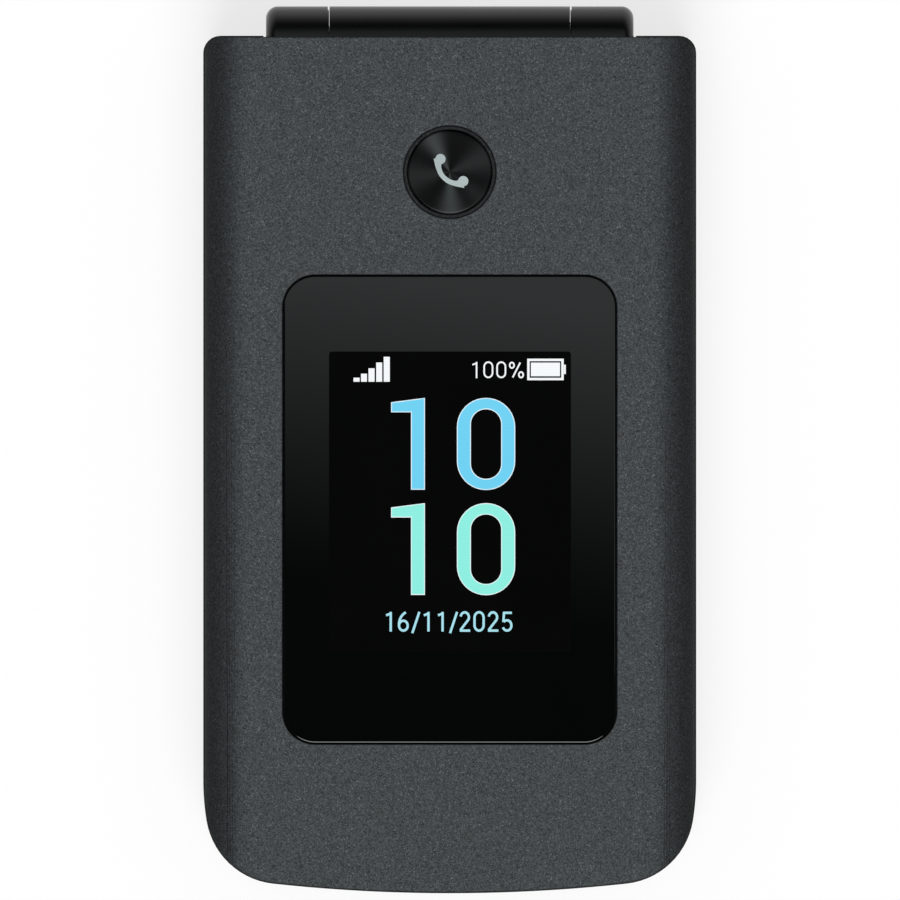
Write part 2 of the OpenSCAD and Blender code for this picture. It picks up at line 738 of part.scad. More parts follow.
module lid_flex() color([0.65, 0.35, 0.08]) {
    coil(lid_flex_x, coils_meet - fit, 90, 90 + coil_turn);
    along_hinge(lid_flex_x, lid_flex_x + flex_w)
        flex_strip(flex_r, -flex_t, -hood_r - flex_past, lid_connector_y - hinge_y,
                   lid_board_z - connector_h - hinge_z);
}

module base_flex() color([0.65, 0.35, 0.08]) {
    coil(coils_meet + fit, base_flex_x + flex_w, -90, coil_turn - 90);
    along_hinge(base_flex_x, base_flex_x + flex_w)
        flex_strip(-flex_r, flex_t, -hood_r + flex_past/2, base_connector_y - hinge_y,
                   film_z + switch_h - hinge_z);
}

module pivot_bush() color([0.7, 0.7, 0.72]) difference() {
    rod(bush_x, bush_end, bush_r);
    rod(bush_x - 1, bush_end + 1, bush_r - bush_t);
    block(base_flex_x - 2*fit, base_flex_x + flex_w + 2*fit, hinge_y - 2*bush_r, hinge_y + 0.4,
          hinge_z - 2*bush_r, hinge_z - flex_r + flex_slot/2);
}

module ear_caps() color([0.1, 0.1, 0.1]) for (x = [-ear_end, ear_end - cap_t]) rod(x, x + cap_t, cap_r);

// ---------- Base ----------

module key_openings() {
    for (i = [0:11]) slab(key_at(i), key_w + 2*key_gap, key_l + 2*key_gap, key_r, deck_z - 1, base_top + 1);
    for (p = side_keys_at)
        slab(p, side_key_w + 2*key_gap, side_key_l + 2*key_gap, key_r, deck_z - 1, base_top + 1);
    disc([0, nav_y], nav_d/2 + key_gap, deck_z - 1, base_top + 1);
}

module front_housing() color([0.08, 0.08, 0.09]) difference() {
    union() {
        difference() {
            union() {
                difference() {
                    base_solid(0, split_z, base_top);
                    translate([0, 0, split_z - 1]) linear_extrude(deck_z - split_z + 1) plan(wall, base_end);
                }
                for (p = base_screws_at) disc(p, screw_boss_r, board_z, deck_z + fit);
                hood(base_end, split_z - far, base_top);
                barrel(-ear_end, -ear_left, ear_round, 0);
                barrel(ear_right, ear_end, 0, ear_round);
            }
            // The middle knuckle turns in here
            rod(-ear_left, ear_right, recess_r);
        }
        // Shoulders that the middle knuckle's ends run beside
        rod(-ear_left, -ear_left + shoulder_t, shoulder_r);
        rod(ear_right - shoulder_t, ear_right, shoulder_r);
    }
    // Seats in the ears and the way of the shaft through its shoulder
    rod(-ear_left, -ear_left + cut, shaft_r + press);
    along_hinge(shaft_x - press, 0) intersection() {
        circle(shaft_r + press);
        translate([-2*shaft_r, -shaft_r + shaft_flat - press]) square(4*shaft_r);
    }
    rod(ear_right - 1, ear_end, bush_r + press);
    for (x = [-ear_end - 1, ear_end - cap_t]) rod(x, x + cap_t + 1, cap_r + press);
    block(base_flex_x - 2*fit, base_flex_x + flex_w + 2*fit, hinge_y - hood_r - 1, hinge_y,
          hinge_z - flex_r - flex_slot/2, hinge_z - flex_r + flex_slot/2);
    key_openings();
    for (p = base_screws_at) disc(p, screw_d/2 + press, board_z - 1, head_z + head_h + base_screw_l + fit);
    disc([0, mic_y], mic_hole_r, deck_z - cut, base_top + cut);
    usb_opening();
    audio_opening();
    // Volume rocker
    block(-half_w - 1, -half_w + wall + 1,
          rocker_y - rocker_l/2 - rocker_gap, rocker_y + rocker_l/2 + rocker_gap,
          rocker_z - rocker_h/2 - rocker_gap, rocker_z + rocker_h/2 + rocker_gap);
}

module usb_opening() block(usb_x - usb_l - fit, half_w + 1, usb_y - usb_w/2 - fit, usb_y + usb_w/2 + fit,
                           board_z - usb_h - fit, board_z);

module audio_opening() {
    block(half_w - wall - jack_box[0] - 0.4, half_w - wall - fit, jack_y - jack_box[1]/2 - fit,
          jack_y + jack_box[1]/2 + fit, board_z - jack_box[2] - fit, board_z);
    translate([half_w - wall - 1, jack_y, board_z - jack_box[2]/2]) rotate([0, 90, 0])
        cylinder(r = jack_box[2]/2 - 0.2 + fit, h = 2*wall + 1);
}

module rear_housing() color([0.09, 0.09, 0.1]) difference() {
    union() {
        difference() {
            base_solid(0, 0, split_z);
            difference() {
                block(-far, far, -far, door_y + door_gap, -1, door_side_h + door_gap);
                base_solid(door_t + door_gap, door_t + door_gap, split_z);
            }
            intersection() {
                base_solid(door_t + door_gap + inner_skin, door_t + door_gap + inner_skin, split_z + 1);
                block(-far, far, -far, door_y - inner_skin, 0, far);
            }
            intersection() {
                base_solid(wall, wall, split_z + 1);
                block(-far, far, door_y + door_gap + inner_skin, far, 0, far);
            }
        }
        ring_between(wall - lip_root, wall + fit + lip_t, base_end, lip_z, split_z);
        translate([0, 0, split_z]) linear_extrude(board_z - split_z) plan(wall + fit, base_end);
        slab([0, battery_y], bay_w + 2*bay_wall, bay_l + 2*bay_wall, 1, door_t + door_gap, split_z + fit);
        slab(sim_at, sim_room[0] + 2*bay_wall, sim_room[1] + 2*bay_wall, 0.6,
             door_t + door_gap, door_t + door_gap + sim_depth + 1);
        intersection() {
            base_solid(door_t + door_gap, door_t + door_gap, split_z);
            for (p = base_screws_at) disc(p, screw_boss_r + 0.2, 0, split_z);
        }
    }
    slab([0, battery_y], bay_w, bay_l, 0.6, 0, plate_z);
    slab(sim_at, sim_room[0], sim_room[1], 0.4, 0, door_t + door_gap + sim_depth);
    block(-contact_w/2 - fit, contact_w/2 + fit, contact_y - cut, contact_y + contact_l + fit,
          battery_z + contact_lift, split_z);
    slab(shield_at, shield_size[0] + 2*fit, shield_size[1] + 2*fit, 0.6, lip_z, board_z + 1);
    usb_opening();
    audio_opening();
    for (p = base_screws_at) {
        disc(p, head_d/2 + fit, -1, head_z + head_h);
        disc(p, screw_d/2 + fit, 0, board_z + 1);
    }
    disc([0, camera_y], lens_d/2 + press, -1, 0.9);
    disc([0, camera_y], barrel_r + fit, 0, wall + 1);
    for (i = [-2:2]) slab([speaker_at[0], speaker_at[1] + 1.8*i], 9, 0.8, 0.39, -1, wall + 1);
    block(-half_w, -half_w + 3, rocker_y - rocker_l/2 - 1, rocker_y + rocker_l/2 + 1,
          rocker_z - rocker_h/2 - 0.7, board_z + 1);
    rod(-hood_x - fit, hood_x + fit, hood_r + fit);
}

module battery_door() color([0.26, 0.27, 0.28]) difference() {
    intersection() {
        base_solid(0, 0, door_side_h);
        block(-far, far, -far, door_y, -1, far);
    }
    base_solid(door_t, door_t, door_side_h + 1);
}

module main_board() color([0.05, 0.28, 0.15]) {
    difference() {
        translate([0, 0, board_z]) linear_extrude(board_t) intersection() {
            plan(board_inset, base_end);
            translate([-half_w, -far]) square([body_w, far + board_end]);
        }
        for (p = base_screws_at) disc(p, screw_boss_r + 2*fit, 0, far);
    }
    // Shielded circuits below the board
    slab(shield_at, shield_size[0], shield_size[1], 0.4, board_z - shield_size[2], board_z);
    // Connector of the flex, microphone, and the two switches behind the volume rocker
    block(base_flex_x, base_flex_x + flex_w, base_connector_y - connector_l, base_connector_y,
          film_z, film_z + switch_h);
    disc([0, mic_y], mic_d/2, film_z, film_z + mic_h);
    for (y = [rocker_y - switch_at, rocker_y + switch_at])
        block(-half_w + wall + switch_gap, -half_w + wall + switch_gap + switch_size[0],
              y - switch_size[1]/2, y + switch_size[1]/2, film_z, film_z + switch_h);
}

module dome_sheet() color([0.8, 0.8, 0.75]) {
    block(-mat_half_w, mat_half_w, mat_y0, mat_y1, film_z, dome_z);
    for (i = [0:11]) disc(key_at(i), dome_d/2, film_z, mat_z);
    for (p = side_keys_at) disc(p, dome_d/2, film_z, mat_z);
    disc([0, nav_y], dome_d/2, film_z, mat_z);
    for (a = [0:90:270]) disc([7*cos(a), nav_y + 7*sin(a)], dome_d/2 - 0.6, film_z, mat_z);
}

module key_mat() color([0.55, 0.56, 0.58])
    block(-mat_half_w, mat_half_w, mat_y0, mat_y1, mat_z, mat_z + mat_t);

module battery() color([0.2, 0.2, 0.21]) difference() {
    slab([0, battery_y], battery_w, battery_l, 1, battery_z, battery_z + battery_t);
    for (k = [-1:1]) block(contact_pitch*k - pad_w/2, contact_pitch*k + pad_w/2, battery_y + battery_l/2 - pad_sink,
                           battery_y + battery_l/2 + cut, battery_z + battery_t/4, battery_z + 0.7*battery_t);
}

module battery_contacts() color([0.15, 0.15, 0.16]) {
    block(-contact_w/2, contact_w/2, contact_y, contact_y + contact_l, battery_z + contact_lift + fit, split_z);
    for (k = [-1:1]) block(contact_pitch*k - blade_w/2, contact_pitch*k + blade_w/2, contact_y - 3*fit, contact_y,
                           battery_z + battery_t/3, battery_z + 0.62*battery_t);
}

module sim_holder() color([0.72, 0.72, 0.74]) {
    top = door_t + door_gap + sim_depth;
    w = sim_room[0] - 0.4;
    l = sim_room[1] - 2*fit;
    difference() {
        slab(sim_at, w, l, 0.3, top - 0.6, top);
        slab(sim_at, w - 2*sim_border, l - 2*sim_border, 0.3, top - cut, top + cut);
    }
    for (k = [-1, 1]) translate([sim_at[0], sim_at[1] + k*(l/2 - 0.2), top - sim_tab_h])
        linear_extrude(sim_tab_h) square([w - 1, 0.4], center = true);
}

module sim_card() color([0.85, 0.85, 0.83]) {
    top = door_t + door_gap + sim_depth - 0.6;
    notch = 1.8;
    translate([sim_at[0], sim_at[1], top - sim_size[2]]) linear_extrude(sim_size[2]) difference() {
        rounded(sim_size[0], sim_size[1], 0.8);
        translate([sim_size[0]/2, sim_size[1]/2]) rotate(45) square(notch*sqrt(2), center = true);
    }
}

module camera_window() color([0.03, 0.03, 0.04]) disc([0, camera_y], lens_d/2, 0.1, 0.9);

module camera_module() color([0.1, 0.1, 0.11]) {
    slab([0, camera_y], camera_s, camera_s, 0.4, 2.6, split_z);
    disc([0, camera_y], barrel_r, 0.9 + fit, 2.6);
}

module loudspeaker() color([0.2, 0.2, 0.21])
    slab(speaker_at, speaker_size[0], speaker_size[1], 1.5, wall + speaker_mesh_t + fit/2, split_z);

module speaker_mesh() color([0.4, 0.4, 0.42])
    slab(speaker_at, speaker_size[0] - 4, speaker_size[1] - 1, 1, wall, wall + speaker_mesh_t);

module vibration_motor() color([0.66, 0.66, 0.68]) disc(motor_at, motor_d/2, split_z - motor_t, split_z);

module usb_socket() color([0.7, 0.71, 0.73]) translate([usb_x, usb_y, board_z - usb_h/2]) rotate([0, -90, 0]) {
    difference() {
        linear_extrude(usb_l) rounded(usb_h, usb_w, usb_h/2 - 0.01);
        translate([0, 0, -1]) linear_extrude(usb_l) rounded(usb_h - 0.6, usb_w - 0.6, usb_h/2 - 0.31);
    }
    translate([0, 0, 0.5]) linear_extrude(usb_l - 1) square([0.7, 6.7], center = true);
}

module audio_socket() color([0.1, 0.1, 0.11]) difference() {
    union() {
        block(half_w - wall - jack_box[0] - 0.3, half_w - wall - 0.3, jack_y - jack_box[1]/2,
              jack_y + jack_box[1]/2, board_z - jack_box[2], board_z);
        translate([half_w - wall - 0.4, jack_y, board_z - jack_box[2]/2]) rotate([0, 90, 0])
            cylinder(r = jack_box[2]/2 - 0.2, h = wall + 0.1);
    }
    translate([half_w - wall - jack_box[0] + 1, jack_y, board_z - jack_box[2]/2]) rotate([0, 90, 0])
        cylinder(d = jack_d, h = jack_box[0] + wall);
}

module base_screws() color([0.5, 0.5, 0.52]) for (p = base_screws_at) screw(p, head_z, base_screw_l);

// ---------- Moving keys ----------

module volume_rocker() color([0.1, 0.1, 0.11]) {
    x = -half_w + rocker_sink;
    inner = -half_w + wall + rocker_room;
    translate([x, rocker_y, rocker_z]) rotate([90, 0, 90]) linear_extrude(inner - x + 0.2)
        rounded(rocker_l, rocker_h, rocker_h/2 - 0.01);
    translate([inner, rocker_y, rocker_z]) rotate([90, 0, 90]) linear_extrude(rocker_back_t)
        rounded(rocker_l + 2*rocker_lip, rocker_h + 2*rocker_lip, 0.4);
    // Rib that it rocks on, between the two switches
    disc([inner + rocker_back_t/2, rocker_y], rocker_rib_r, rocker_z - rocker_h/2, rocker_z + rocker_h/2);
}

module key(at, w, l) {
    slab(at, w, l, key_r - key_gap, flange_z, base_top + key_proud);
    slab(at, w + 2*flange_w, l + 2*flange_w, key_r, flange_z, flange_z + flange_t);
}

module number_key(i) color([0.12, 0.12, 0.13]) key(key_at(i), key_w, key_l);

module side_key(i) color([0.12, 0.12, 0.13]) key(side_keys_at[i], side_key_w, side_key_l);

module navigation_ring() color([0.55, 0.56, 0.58]) translate([0, nav_y, 0]) rotate_extrude() {
    top = base_top + key_proud;
    low = deck_z - nav_tilt_gap;
    step_r = ok_d/2 + ok_flange_w + 2*nav_step;
    polygon([[nav_hub, low + nav_step], [step_r, low + nav_step], [step_r, flange_z],
             [nav_d/2 + flange_w, flange_z], [nav_d/2 + flange_w, low], [nav_d/2, low],
             [nav_d/2, top - key_edge], [nav_d/2 - key_edge, top],
             [nav_hub + key_edge, top], [nav_hub, top - key_edge]]);
}

module ok_key() color([0.12, 0.12, 0.13]) translate([0, nav_y, 0]) rotate_extrude() {
    top = base_top + key_proud;
    r = ok_d/2;
    polygon([[0, flange_z], [r + ok_flange_w, flange_z], [r + ok_flange_w, flange_z + ok_flange_t],
             [r, flange_z + ok_flange_t], [r, top - 1.5*key_edge], [r - key_edge, top - key_edge/2], [0, top]]);
}

lid_cover();
lid_frame();
outer_window();
outer_display();
main_window();
main_display();
lid_board();
call_button_ring();
call_button();
earpiece();
earpiece_mesh();
lid_bumpers();
lid_screws();
lid_magnet();
hinge_housing();
hinge_follower();
hinge_spring();
lid_flex();
front_housing();
rear_housing();
main_board();
key_mat();
dome_sheet();
battery();
battery_contacts();
sim_card();
sim_holder();
camera_module();
camera_window();
loudspeaker();
speaker_mesh();
vibration_motor();
usb_socket();
audio_socket();
hinge_shaft();
pivot_bush();
ear_caps();
base_screws();
base_flex();
battery_door();
volume_rocker();
number_key(0);  // key_1
number_key(1);  // key_2
number_key(2);  // key_3
number_key(3);  // key_4
number_key(4);  // key_5
number_key(5);  // key_6
number_key(6);  // key_7
number_key(7);  // key_8
number_key(8);  // key_9
number_key(9);  // key_star
number_key(10);  // key_0
number_key(11);  // key_hash
navigation_ring();
ok_key();
side_key(0);  // soft_key_left
side_key(1);  // soft_key_right
side_key(2);  // call_key
side_key(3);  // end_key
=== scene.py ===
"""Looks of a closed flip phone: finishes, printed marks, rounded caps and the studio round them.

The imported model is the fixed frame. Its nodes keep their shape and get better finishes here, and the pieces
whose looks need more than the solids give are built in mesh code and ride on the same bodies. All lengths in
the classes are in millimetres; they are turned into metres when a mesh is made.
"""

from __future__ import annotations

import json
import logging
import math
from dataclasses import dataclass
from enum import Enum
from typing import Callable, Iterable, Sequence, Union

import bmesh
import bpy
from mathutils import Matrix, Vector

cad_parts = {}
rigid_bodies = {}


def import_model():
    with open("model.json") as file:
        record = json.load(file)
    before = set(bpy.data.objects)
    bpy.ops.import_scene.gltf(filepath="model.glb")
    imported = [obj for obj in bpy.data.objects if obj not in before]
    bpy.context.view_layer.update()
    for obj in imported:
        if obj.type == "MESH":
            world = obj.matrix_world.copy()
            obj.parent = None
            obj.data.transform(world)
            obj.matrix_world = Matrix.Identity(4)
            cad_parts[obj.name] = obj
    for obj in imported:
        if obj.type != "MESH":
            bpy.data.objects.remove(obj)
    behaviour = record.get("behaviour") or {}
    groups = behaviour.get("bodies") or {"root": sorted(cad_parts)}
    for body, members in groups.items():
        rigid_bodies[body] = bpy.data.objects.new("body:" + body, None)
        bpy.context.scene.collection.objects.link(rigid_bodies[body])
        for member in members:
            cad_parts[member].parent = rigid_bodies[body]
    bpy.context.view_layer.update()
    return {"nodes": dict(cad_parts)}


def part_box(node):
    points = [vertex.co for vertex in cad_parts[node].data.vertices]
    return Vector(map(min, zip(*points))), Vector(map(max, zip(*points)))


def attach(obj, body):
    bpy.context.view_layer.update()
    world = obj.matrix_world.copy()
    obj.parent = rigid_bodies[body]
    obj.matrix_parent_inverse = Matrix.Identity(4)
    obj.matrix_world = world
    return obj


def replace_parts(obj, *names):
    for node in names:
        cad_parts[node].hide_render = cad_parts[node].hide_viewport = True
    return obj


LOG = logging.getLogger("phone")
MM = 0.001
Point = tuple[float, float]
Ring = list[tuple[float, float, float]]
Colour = tuple[float, float, float]


def linear(red: int, green: int, blue: int) -> Colour:
    """Turns a colour as seen on a screen into linear light.

    Args:
        red: Red from 0 to 255.
        green: Green from 0 to 255.
        blue: Blue from 0 to 255.

    Returns:
        The three linear values.
    """
    def one(value: int) -> float:
        """Turns one channel into linear light."""
        share = value / 255
        return share / 12.92 if share <= 0.04045 else ((share + 0.055) / 1.055) ** 2.4

    return one(red), one(green), one(blue)


# ---------- Shader maths ----------


class Wire:
    """A value that leaves a node's socket, usable in Python expressions."""

    def __init__(self, sheet: "NodeSheet", socket: bpy.types.NodeSocket) -> None:
        """Keeps the node sheet and the socket."""
        self.sheet = sheet
        self.socket = socket

    def _math(self, operation: str, first: "Number", second: "Number") -> "Wire":
        """Adds a Math node for an operation on two values."""
        return self.sheet.math(operation, first, second)

    def __add__(self, other: "Number") -> "Wire":
        """Adds."""
        return self._math("ADD", self, other)

    __radd__ = __add__

    def __sub__(self, other: "Number") -> "Wire":
        """Subtracts other."""
        return self._math("SUBTRACT", self, other)

    def __rsub__(self, other: "Number") -> "Wire":
        """Subtracts from other."""
        return self._math("SUBTRACT", other, self)

    def __mul__(self, other: "Number") -> "Wire":
        """Multiplies."""
        return self._math("MULTIPLY", self, other)

    __rmul__ = __mul__

    def __truediv__(self, other: "Number") -> "Wire":
        """Divides by other."""
        return self._math("DIVIDE", self, other)

    def __rtruediv__(self, other: "Number") -> "Wire":
        """Divides other by this."""
        return self._math("DIVIDE", other, self)

    def __pow__(self, other: "Number") -> "Wire":
        """Raises to a power."""
        return self._math("POWER", self, other)

    def __gt__(self, other: "Number") -> "Wire":
        """1 where this is greater than other, and 0 elsewhere."""
        return self._math("GREATER_THAN", self, other)

    def __lt__(self, other: "Number") -> "Wire":
        """1 where this is less than other, and 0 elsewhere."""
        return self._math("LESS_THAN", self, other)


Number = Union[Wire, float, int]


class NodeSheet:
    """The node tree of one material, lamp or world, with short ways to add to it."""

    def __init__(self, tree: bpy.types.NodeTree) -> None:
        """Clears the tree and keeps it."""
        tree.nodes.clear()
        self.tree = tree

    def add(self, kind: str, settings: dict[str, object] | None = None,
            inputs: dict[str | int, object] | None = None) -> bpy.types.Node:
        """Adds a node.

        Args:
            kind: Type of the node.
            settings: Properties of the node, set first.
            inputs: Values, or wires to link, by name or number of the socket.

        Returns:
            The node.
        """
        node = self.tree.nodes.new(kind)
        for name, value in (settings or {}).items():
            setattr(node, name, value)
        for name, value in (inputs or {}).items():
            if isinstance(value, Wire):
                self.tree.links.new(value.socket, node.inputs[name])
            else:
                node.inputs[name].default_value = value
        return node

    def wire(self, node: bpy.types.Node, output: int | str = 0) -> Wire:
        """Wraps one of a node's outputs."""
        return Wire(self, node.outputs[output])

    def math(self, operation: str, *values: Number) -> Wire:
        """Adds a Math node.

        Args:
            operation: Name of the operation.
            values: Numbers or wires for its sockets, in order.

        Returns:
            Its result.
        """
        return self.wire(self.add("ShaderNodeMath", {"operation": operation}, dict(enumerate(values))))

    def between(self, value: Wire, low: float, high: float) -> Wire:
        """Runs smoothly from 0 where value is low to 1 where it is high."""
        return self.wire(self.add("ShaderNodeMapRange", {"interpolation_type": "SMOOTHSTEP"},
                                  {0: value, 1: low, 2: high}))

    def mix(self, factor: Number, first: object, second: object) -> Wire:
        """Mixes two colours.

        Args:
            factor: 0 for the first and 1 for the second.
            first: A colour or a wire.
            second: A colour or a wire.

        Returns:
            The mixed colour.
        """
        def whole(colour: object) -> object:
            """Gives a plain colour its fourth number."""
            return colour if isinstance(colour, Wire) else (*colour, 1)

        return self.wire(self.add("ShaderNodeMix", {"data_type": "RGBA"},
                                  {0: factor, 6: whole(first), 7: whole(second)}), 2)

    def place(self) -> Wire:
        """Place on the piece, in the frame of the phone at rest, in metres."""
        return self.wire(self.add("ShaderNodeTexCoord"), "Object")

    def axes(self, vector: Wire) -> tuple[Wire, Wire, Wire]:
        """Splits a vector into its three numbers."""
        node = self.add("ShaderNodeSeparateXYZ", None, {0: vector})
        return self.wire(node, 0), self.wire(node, 1), self.wire(node, 2)

    def noise(self, grain: float, detail: float = 2, rough: float = 0.5, stretch: Colour = (1, 1, 1)) -> Wire:
        """Smooth noise.

        Args:
            grain: Size of its grains in millimetres.
            detail: Octaves.
            rough: Weight of the finer octaves.
            stretch: Factor on each axis; below 1 makes longer grains.

        Returns:
            The noise, from 0 to 1.
        """
        vector = self.wire(self.add("ShaderNodeVectorMath", {"operation": "MULTIPLY"},
                                    {0: self.place(), 1: stretch}))
        return self.wire(self.add("ShaderNodeTexNoise", None, {
            "Vector": vector, "Scale": 1 / (grain * MM), "Detail": detail, "Roughness": rough}), 0)

    def cells(self, size: float) -> Wire:
        """One random value for each small cell of the given size in millimetres."""
        node = self.add("ShaderNodeTexVoronoi", None, {"Vector": self.place(), "Scale": 1 / (size * MM)})
        return self.axes(self.wire(node, "Color"))[0]

    def bump(self, height: Wire, distance: float, strength: float = 1) -> Wire:
        """Bumps the normal.

        Args:
            height: Height, from 0 to 1.
            distance: Height in millimetres that 1 stands for.
            strength: Strength of the effect.

        Returns:
            The bumped normal.
        """
        return self.wire(self.add("ShaderNodeBump", None, {
            "Height": height, "Distance": distance * MM, "Strength": strength}))


def to_centre(sheet: NodeSheet, centre: Point) -> tuple[Wire, Wire, Wire]:
    """Place on the piece seen from a centre, across the phone's plane.

    Args:
        sheet: The material's node sheet.
        centre: The centre in millimetres.

    Returns:
        Distance along X, along Y, and straight from the centre, in millimetres.
    """
    x, y, _ = sheet.axes(sheet.place())
    dx = x / MM - centre[0]
    dy = y / MM - centre[1]
    return dx, dy, sheet.math("SQRT", dx * dx + dy * dy)


# ---------- Finishes ----------


@dataclass(frozen=True)
class Finish:
    """A finish of one sort, made into a material once and then shared."""

    name: str

    def build(self, sheet: NodeSheet, shader: bpy.types.Node) -> None:
        """Fills the material's node sheet; each finish has its own."""
        raise NotImplementedError

    def material(self) -> bpy.types.Material:
        """Makes the material, or gives the one that is already there.

        Returns:
            The material.
        """
        found = bpy.data.materials.get("finish_" + self.name)
        if found:
            return found
        material = bpy.data.materials.new("finish_" + self.name)
        material.use_nodes = True
        sheet = NodeSheet(material.node_tree)
        shader = sheet.add("ShaderNodeBsdfPrincipled")
        sheet.add("ShaderNodeOutputMaterial", None, {"Surface": sheet.wire(shader)})
        self.build(sheet, shader)
        return material

    def feed(self, sheet: NodeSheet, shader: bpy.types.Node, **values: object) -> None:
        """Sets or links sockets of the shader, with spaces written as underscores.

        Args:
            sheet: The material's node sheet.
            shader: The surface shader.
            values: Socket names and their values or wires.
        """
        for name, value in values.items():
            socket = shader.inputs[name.replace("_", " ")]
            if isinstance(value, Wire):
                sheet.tree.links.new(value.socket, socket)
            elif isinstance(value, tuple) and len(value) == 3:
                socket.default_value = (*value, 1)
            else:
                socket.default_value = value


@dataclass(frozen=True)
class FlakePaint(Finish):
    """Satin paint with fine metal flakes, and painted shade: its colour is darkened where the surface turns to
    the sides.
    """

    colour: Colour
    flake: float = 0.1
    spread: float = 1.1
    # Share of the colour left where the surface faces sideways, by the painted shade.
    sides: float = 0.42

    def build(self, sheet: NodeSheet, shader: bpy.types.Node) -> None:
        """Mixes flakes of several sizes into the paint, and paints shade on the sides by darkening the colour
        where the piece's own normal turns from straight up.

        Args:
            sheet: The material's node sheet.
            shader: The surface shader.
        """
        fine, coarse = sheet.cells(self.flake), sheet.cells(1.7 * self.flake)
        rare = sheet.cells(1.25 * self.flake)
        cloud = sheet.noise(9, 2)
        level = 1 + self.spread * (fine - 0.5) + 0.35 * self.spread * (coarse - 0.5) + 0.06 * (cloud - 0.5)
        sparkle = sheet.between(rare, 0.93, 1.0)
        # Painted shade: the colour falls to the sides share where the surface turns from straight up, and stays
        # so under any light.
        upright = self.upright(sheet)
        level = (level + 1.3 * sparkle) * (self.sides + (1 - self.sides) * upright ** 8)
        tint = sheet.mix(fine, tuple(1.06 * c for c in self.colour[:2]) + (0.97 * self.colour[2],),
                         (0.95 * self.colour[0], self.colour[1], 1.04 * self.colour[2]))
        painted = sheet.wire(sheet.add("ShaderNodeVectorMath", {"operation": "SCALE"},
                                       {0: tint, "Scale": level}))
        self.feed(sheet, shader, Base_Color=painted, Metallic=0.15 * sparkle, Roughness=0.78 - 0.2 * sparkle,
                  Specular_IOR_Level=0.08, Normal=sheet.bump(fine, 0.004, 0.35))

    def upright(self, sheet: NodeSheet) -> Wire:
        """How far the surface faces straight up or down, from 0 to 1."""
        normal = sheet.wire(sheet.add("ShaderNodeTexCoord"), "Normal")
        return sheet.math("MINIMUM", sheet.math("ABSOLUTE", sheet.axes(normal)[2]), 1.0)


@dataclass(frozen=True)
class MouldedPlastic(Finish):
    """Moulded plastic with a fine spark-eroded grain."""

    colour: Colour
    roughness: float = 0.34
    grain: float = 0.16
    depth: float = 0.006

    def build(self, sheet: NodeSheet, shader: bpy.types.Node) -> None:
        """Varies gloss and height with the grain, and the colour slightly over the piece.

        Args:
            sheet: The material's node sheet.
            shader: The surface shader.
        """
        grain = sheet.noise(self.grain, 3, 0.6)
        worn = sheet.noise(7, 3, 0.55)
        colour = sheet.mix(worn, tuple(0.8 * c for c in self.colour), tuple(1.25 * c for c in self.colour))
        self.feed(sheet, shader, Base_Color=colour,
                  Roughness=self.roughness + 0.08 * (grain - 0.5) + 0.1 * (worn - 0.5),
                  Normal=sheet.bump(grain, self.depth, 0.5))


@dataclass(frozen=True)
class FramePlastic(Finish):
    """Black plastic of the shells: polished round the hinge and satin elsewhere, with a fine grain."""

    colour: Colour
    polished: float = 0.28
    satin: float = 0.62
    polished_from: float = 42.5

    def build(self, sheet: NodeSheet, shader: bpy.types.Node) -> None:
        """Runs from satin to polished along the phone, and varies the gloss with grain and wear.

        Args:
            sheet: The material's node sheet.
            shader: The surface shader.
        """
        _, y, _ = sheet.axes(sheet.place())
        polish = sheet.between(y / MM, self.polished_from, self.polished_from + 1)
        grain = sheet.noise(0.16, 3, 0.6)
        worn = sheet.noise(7, 3, 0.55)
        colour = sheet.mix(worn, tuple(0.8 * c for c in self.colour), tuple(1.25 * c for c in self.colour))
        rough = self.satin + (self.polished - self.satin) * polish + 0.06 * (grain - 0.5) + 0.08 * (worn - 0.5)
        self.feed(sheet, shader, Base_Color=colour, Roughness=rough, Specular_IOR_Level=0.45,
                  Normal=sheet.bump(grain * (1 - 0.8 * polish), 0.006, 0.5))


@dataclass(frozen=True)
class GlossWindow(Finish):
    """Clear acrylic printed black behind: deep gloss, with faint haze in its colour and fine hairlines in its
    gloss.
    """

    colour: Colour = linear(4, 7, 6)

    def build(self, sheet: NodeSheet, shader: bpy.types.Node) -> None:
        """Adds a few fine hairlines to the gloss.

        Args:
            sheet: The material's node sheet.
            shader: The surface shader.
        """
        haze = sheet.noise(14, 3)
        hairline = sheet.noise(0.5, 2, 0.5, (0.04, 1, 1))
        colour = sheet.mix(haze, tuple(0.8 * c for c in self.colour), tuple(1.3 * c for c in self.colour))
        self.feed(sheet, shader, Base_Color=colour, Roughness=0.03 + 0.05 * sheet.between(hairline, 0.66, 0.8),
                  Specular_IOR_Level=0.5)


@dataclass(frozen=True)
class LitPrint(Finish):
    """Lit figure of a display behind the gloss window."""

    colour: Colour
    edge: Colour
    strength: float = 1.0

    def build(self, sheet: NodeSheet, shader: bpy.types.Node) -> None:
        """Lets the fine rows of the display show in the light.

        Args:
            sheet: The material's node sheet.
            shader: The surface shader.
        """
        _, y, _ = sheet.axes(sheet.place())
        row = sheet.math("PINGPONG", y / MM, 0.11)
        light = sheet.mix(sheet.between(row, 0.0, 0.11), self.colour, self.edge)
        self.feed(sheet, shader, Base_Color=linear(4, 7, 6), Roughness=0.04, Emission_Color=light,
                  Emission_Strength=self.strength)


@dataclass(frozen=True)
class DarkField(Finish):
    """Unlit part of the display: nearly black, and without the gloss of the sheet round it."""

    def build(self, sheet: NodeSheet, shader: bpy.types.Node) -> None:
        """Adds the faint unevenness of the backlight.

        Args:
            sheet: The material's node sheet.
            shader: The surface shader.
        """
        uneven = sheet.noise(11, 2)
        colour = sheet.mix(uneven, (0.0001, 0.0001, 0.0001), (0.0007, 0.0008, 0.0008))
        self.feed(sheet, shader, Base_Color=colour, Roughness=0.35 + 0.1 * uneven, Specular_IOR_Level=0.03)


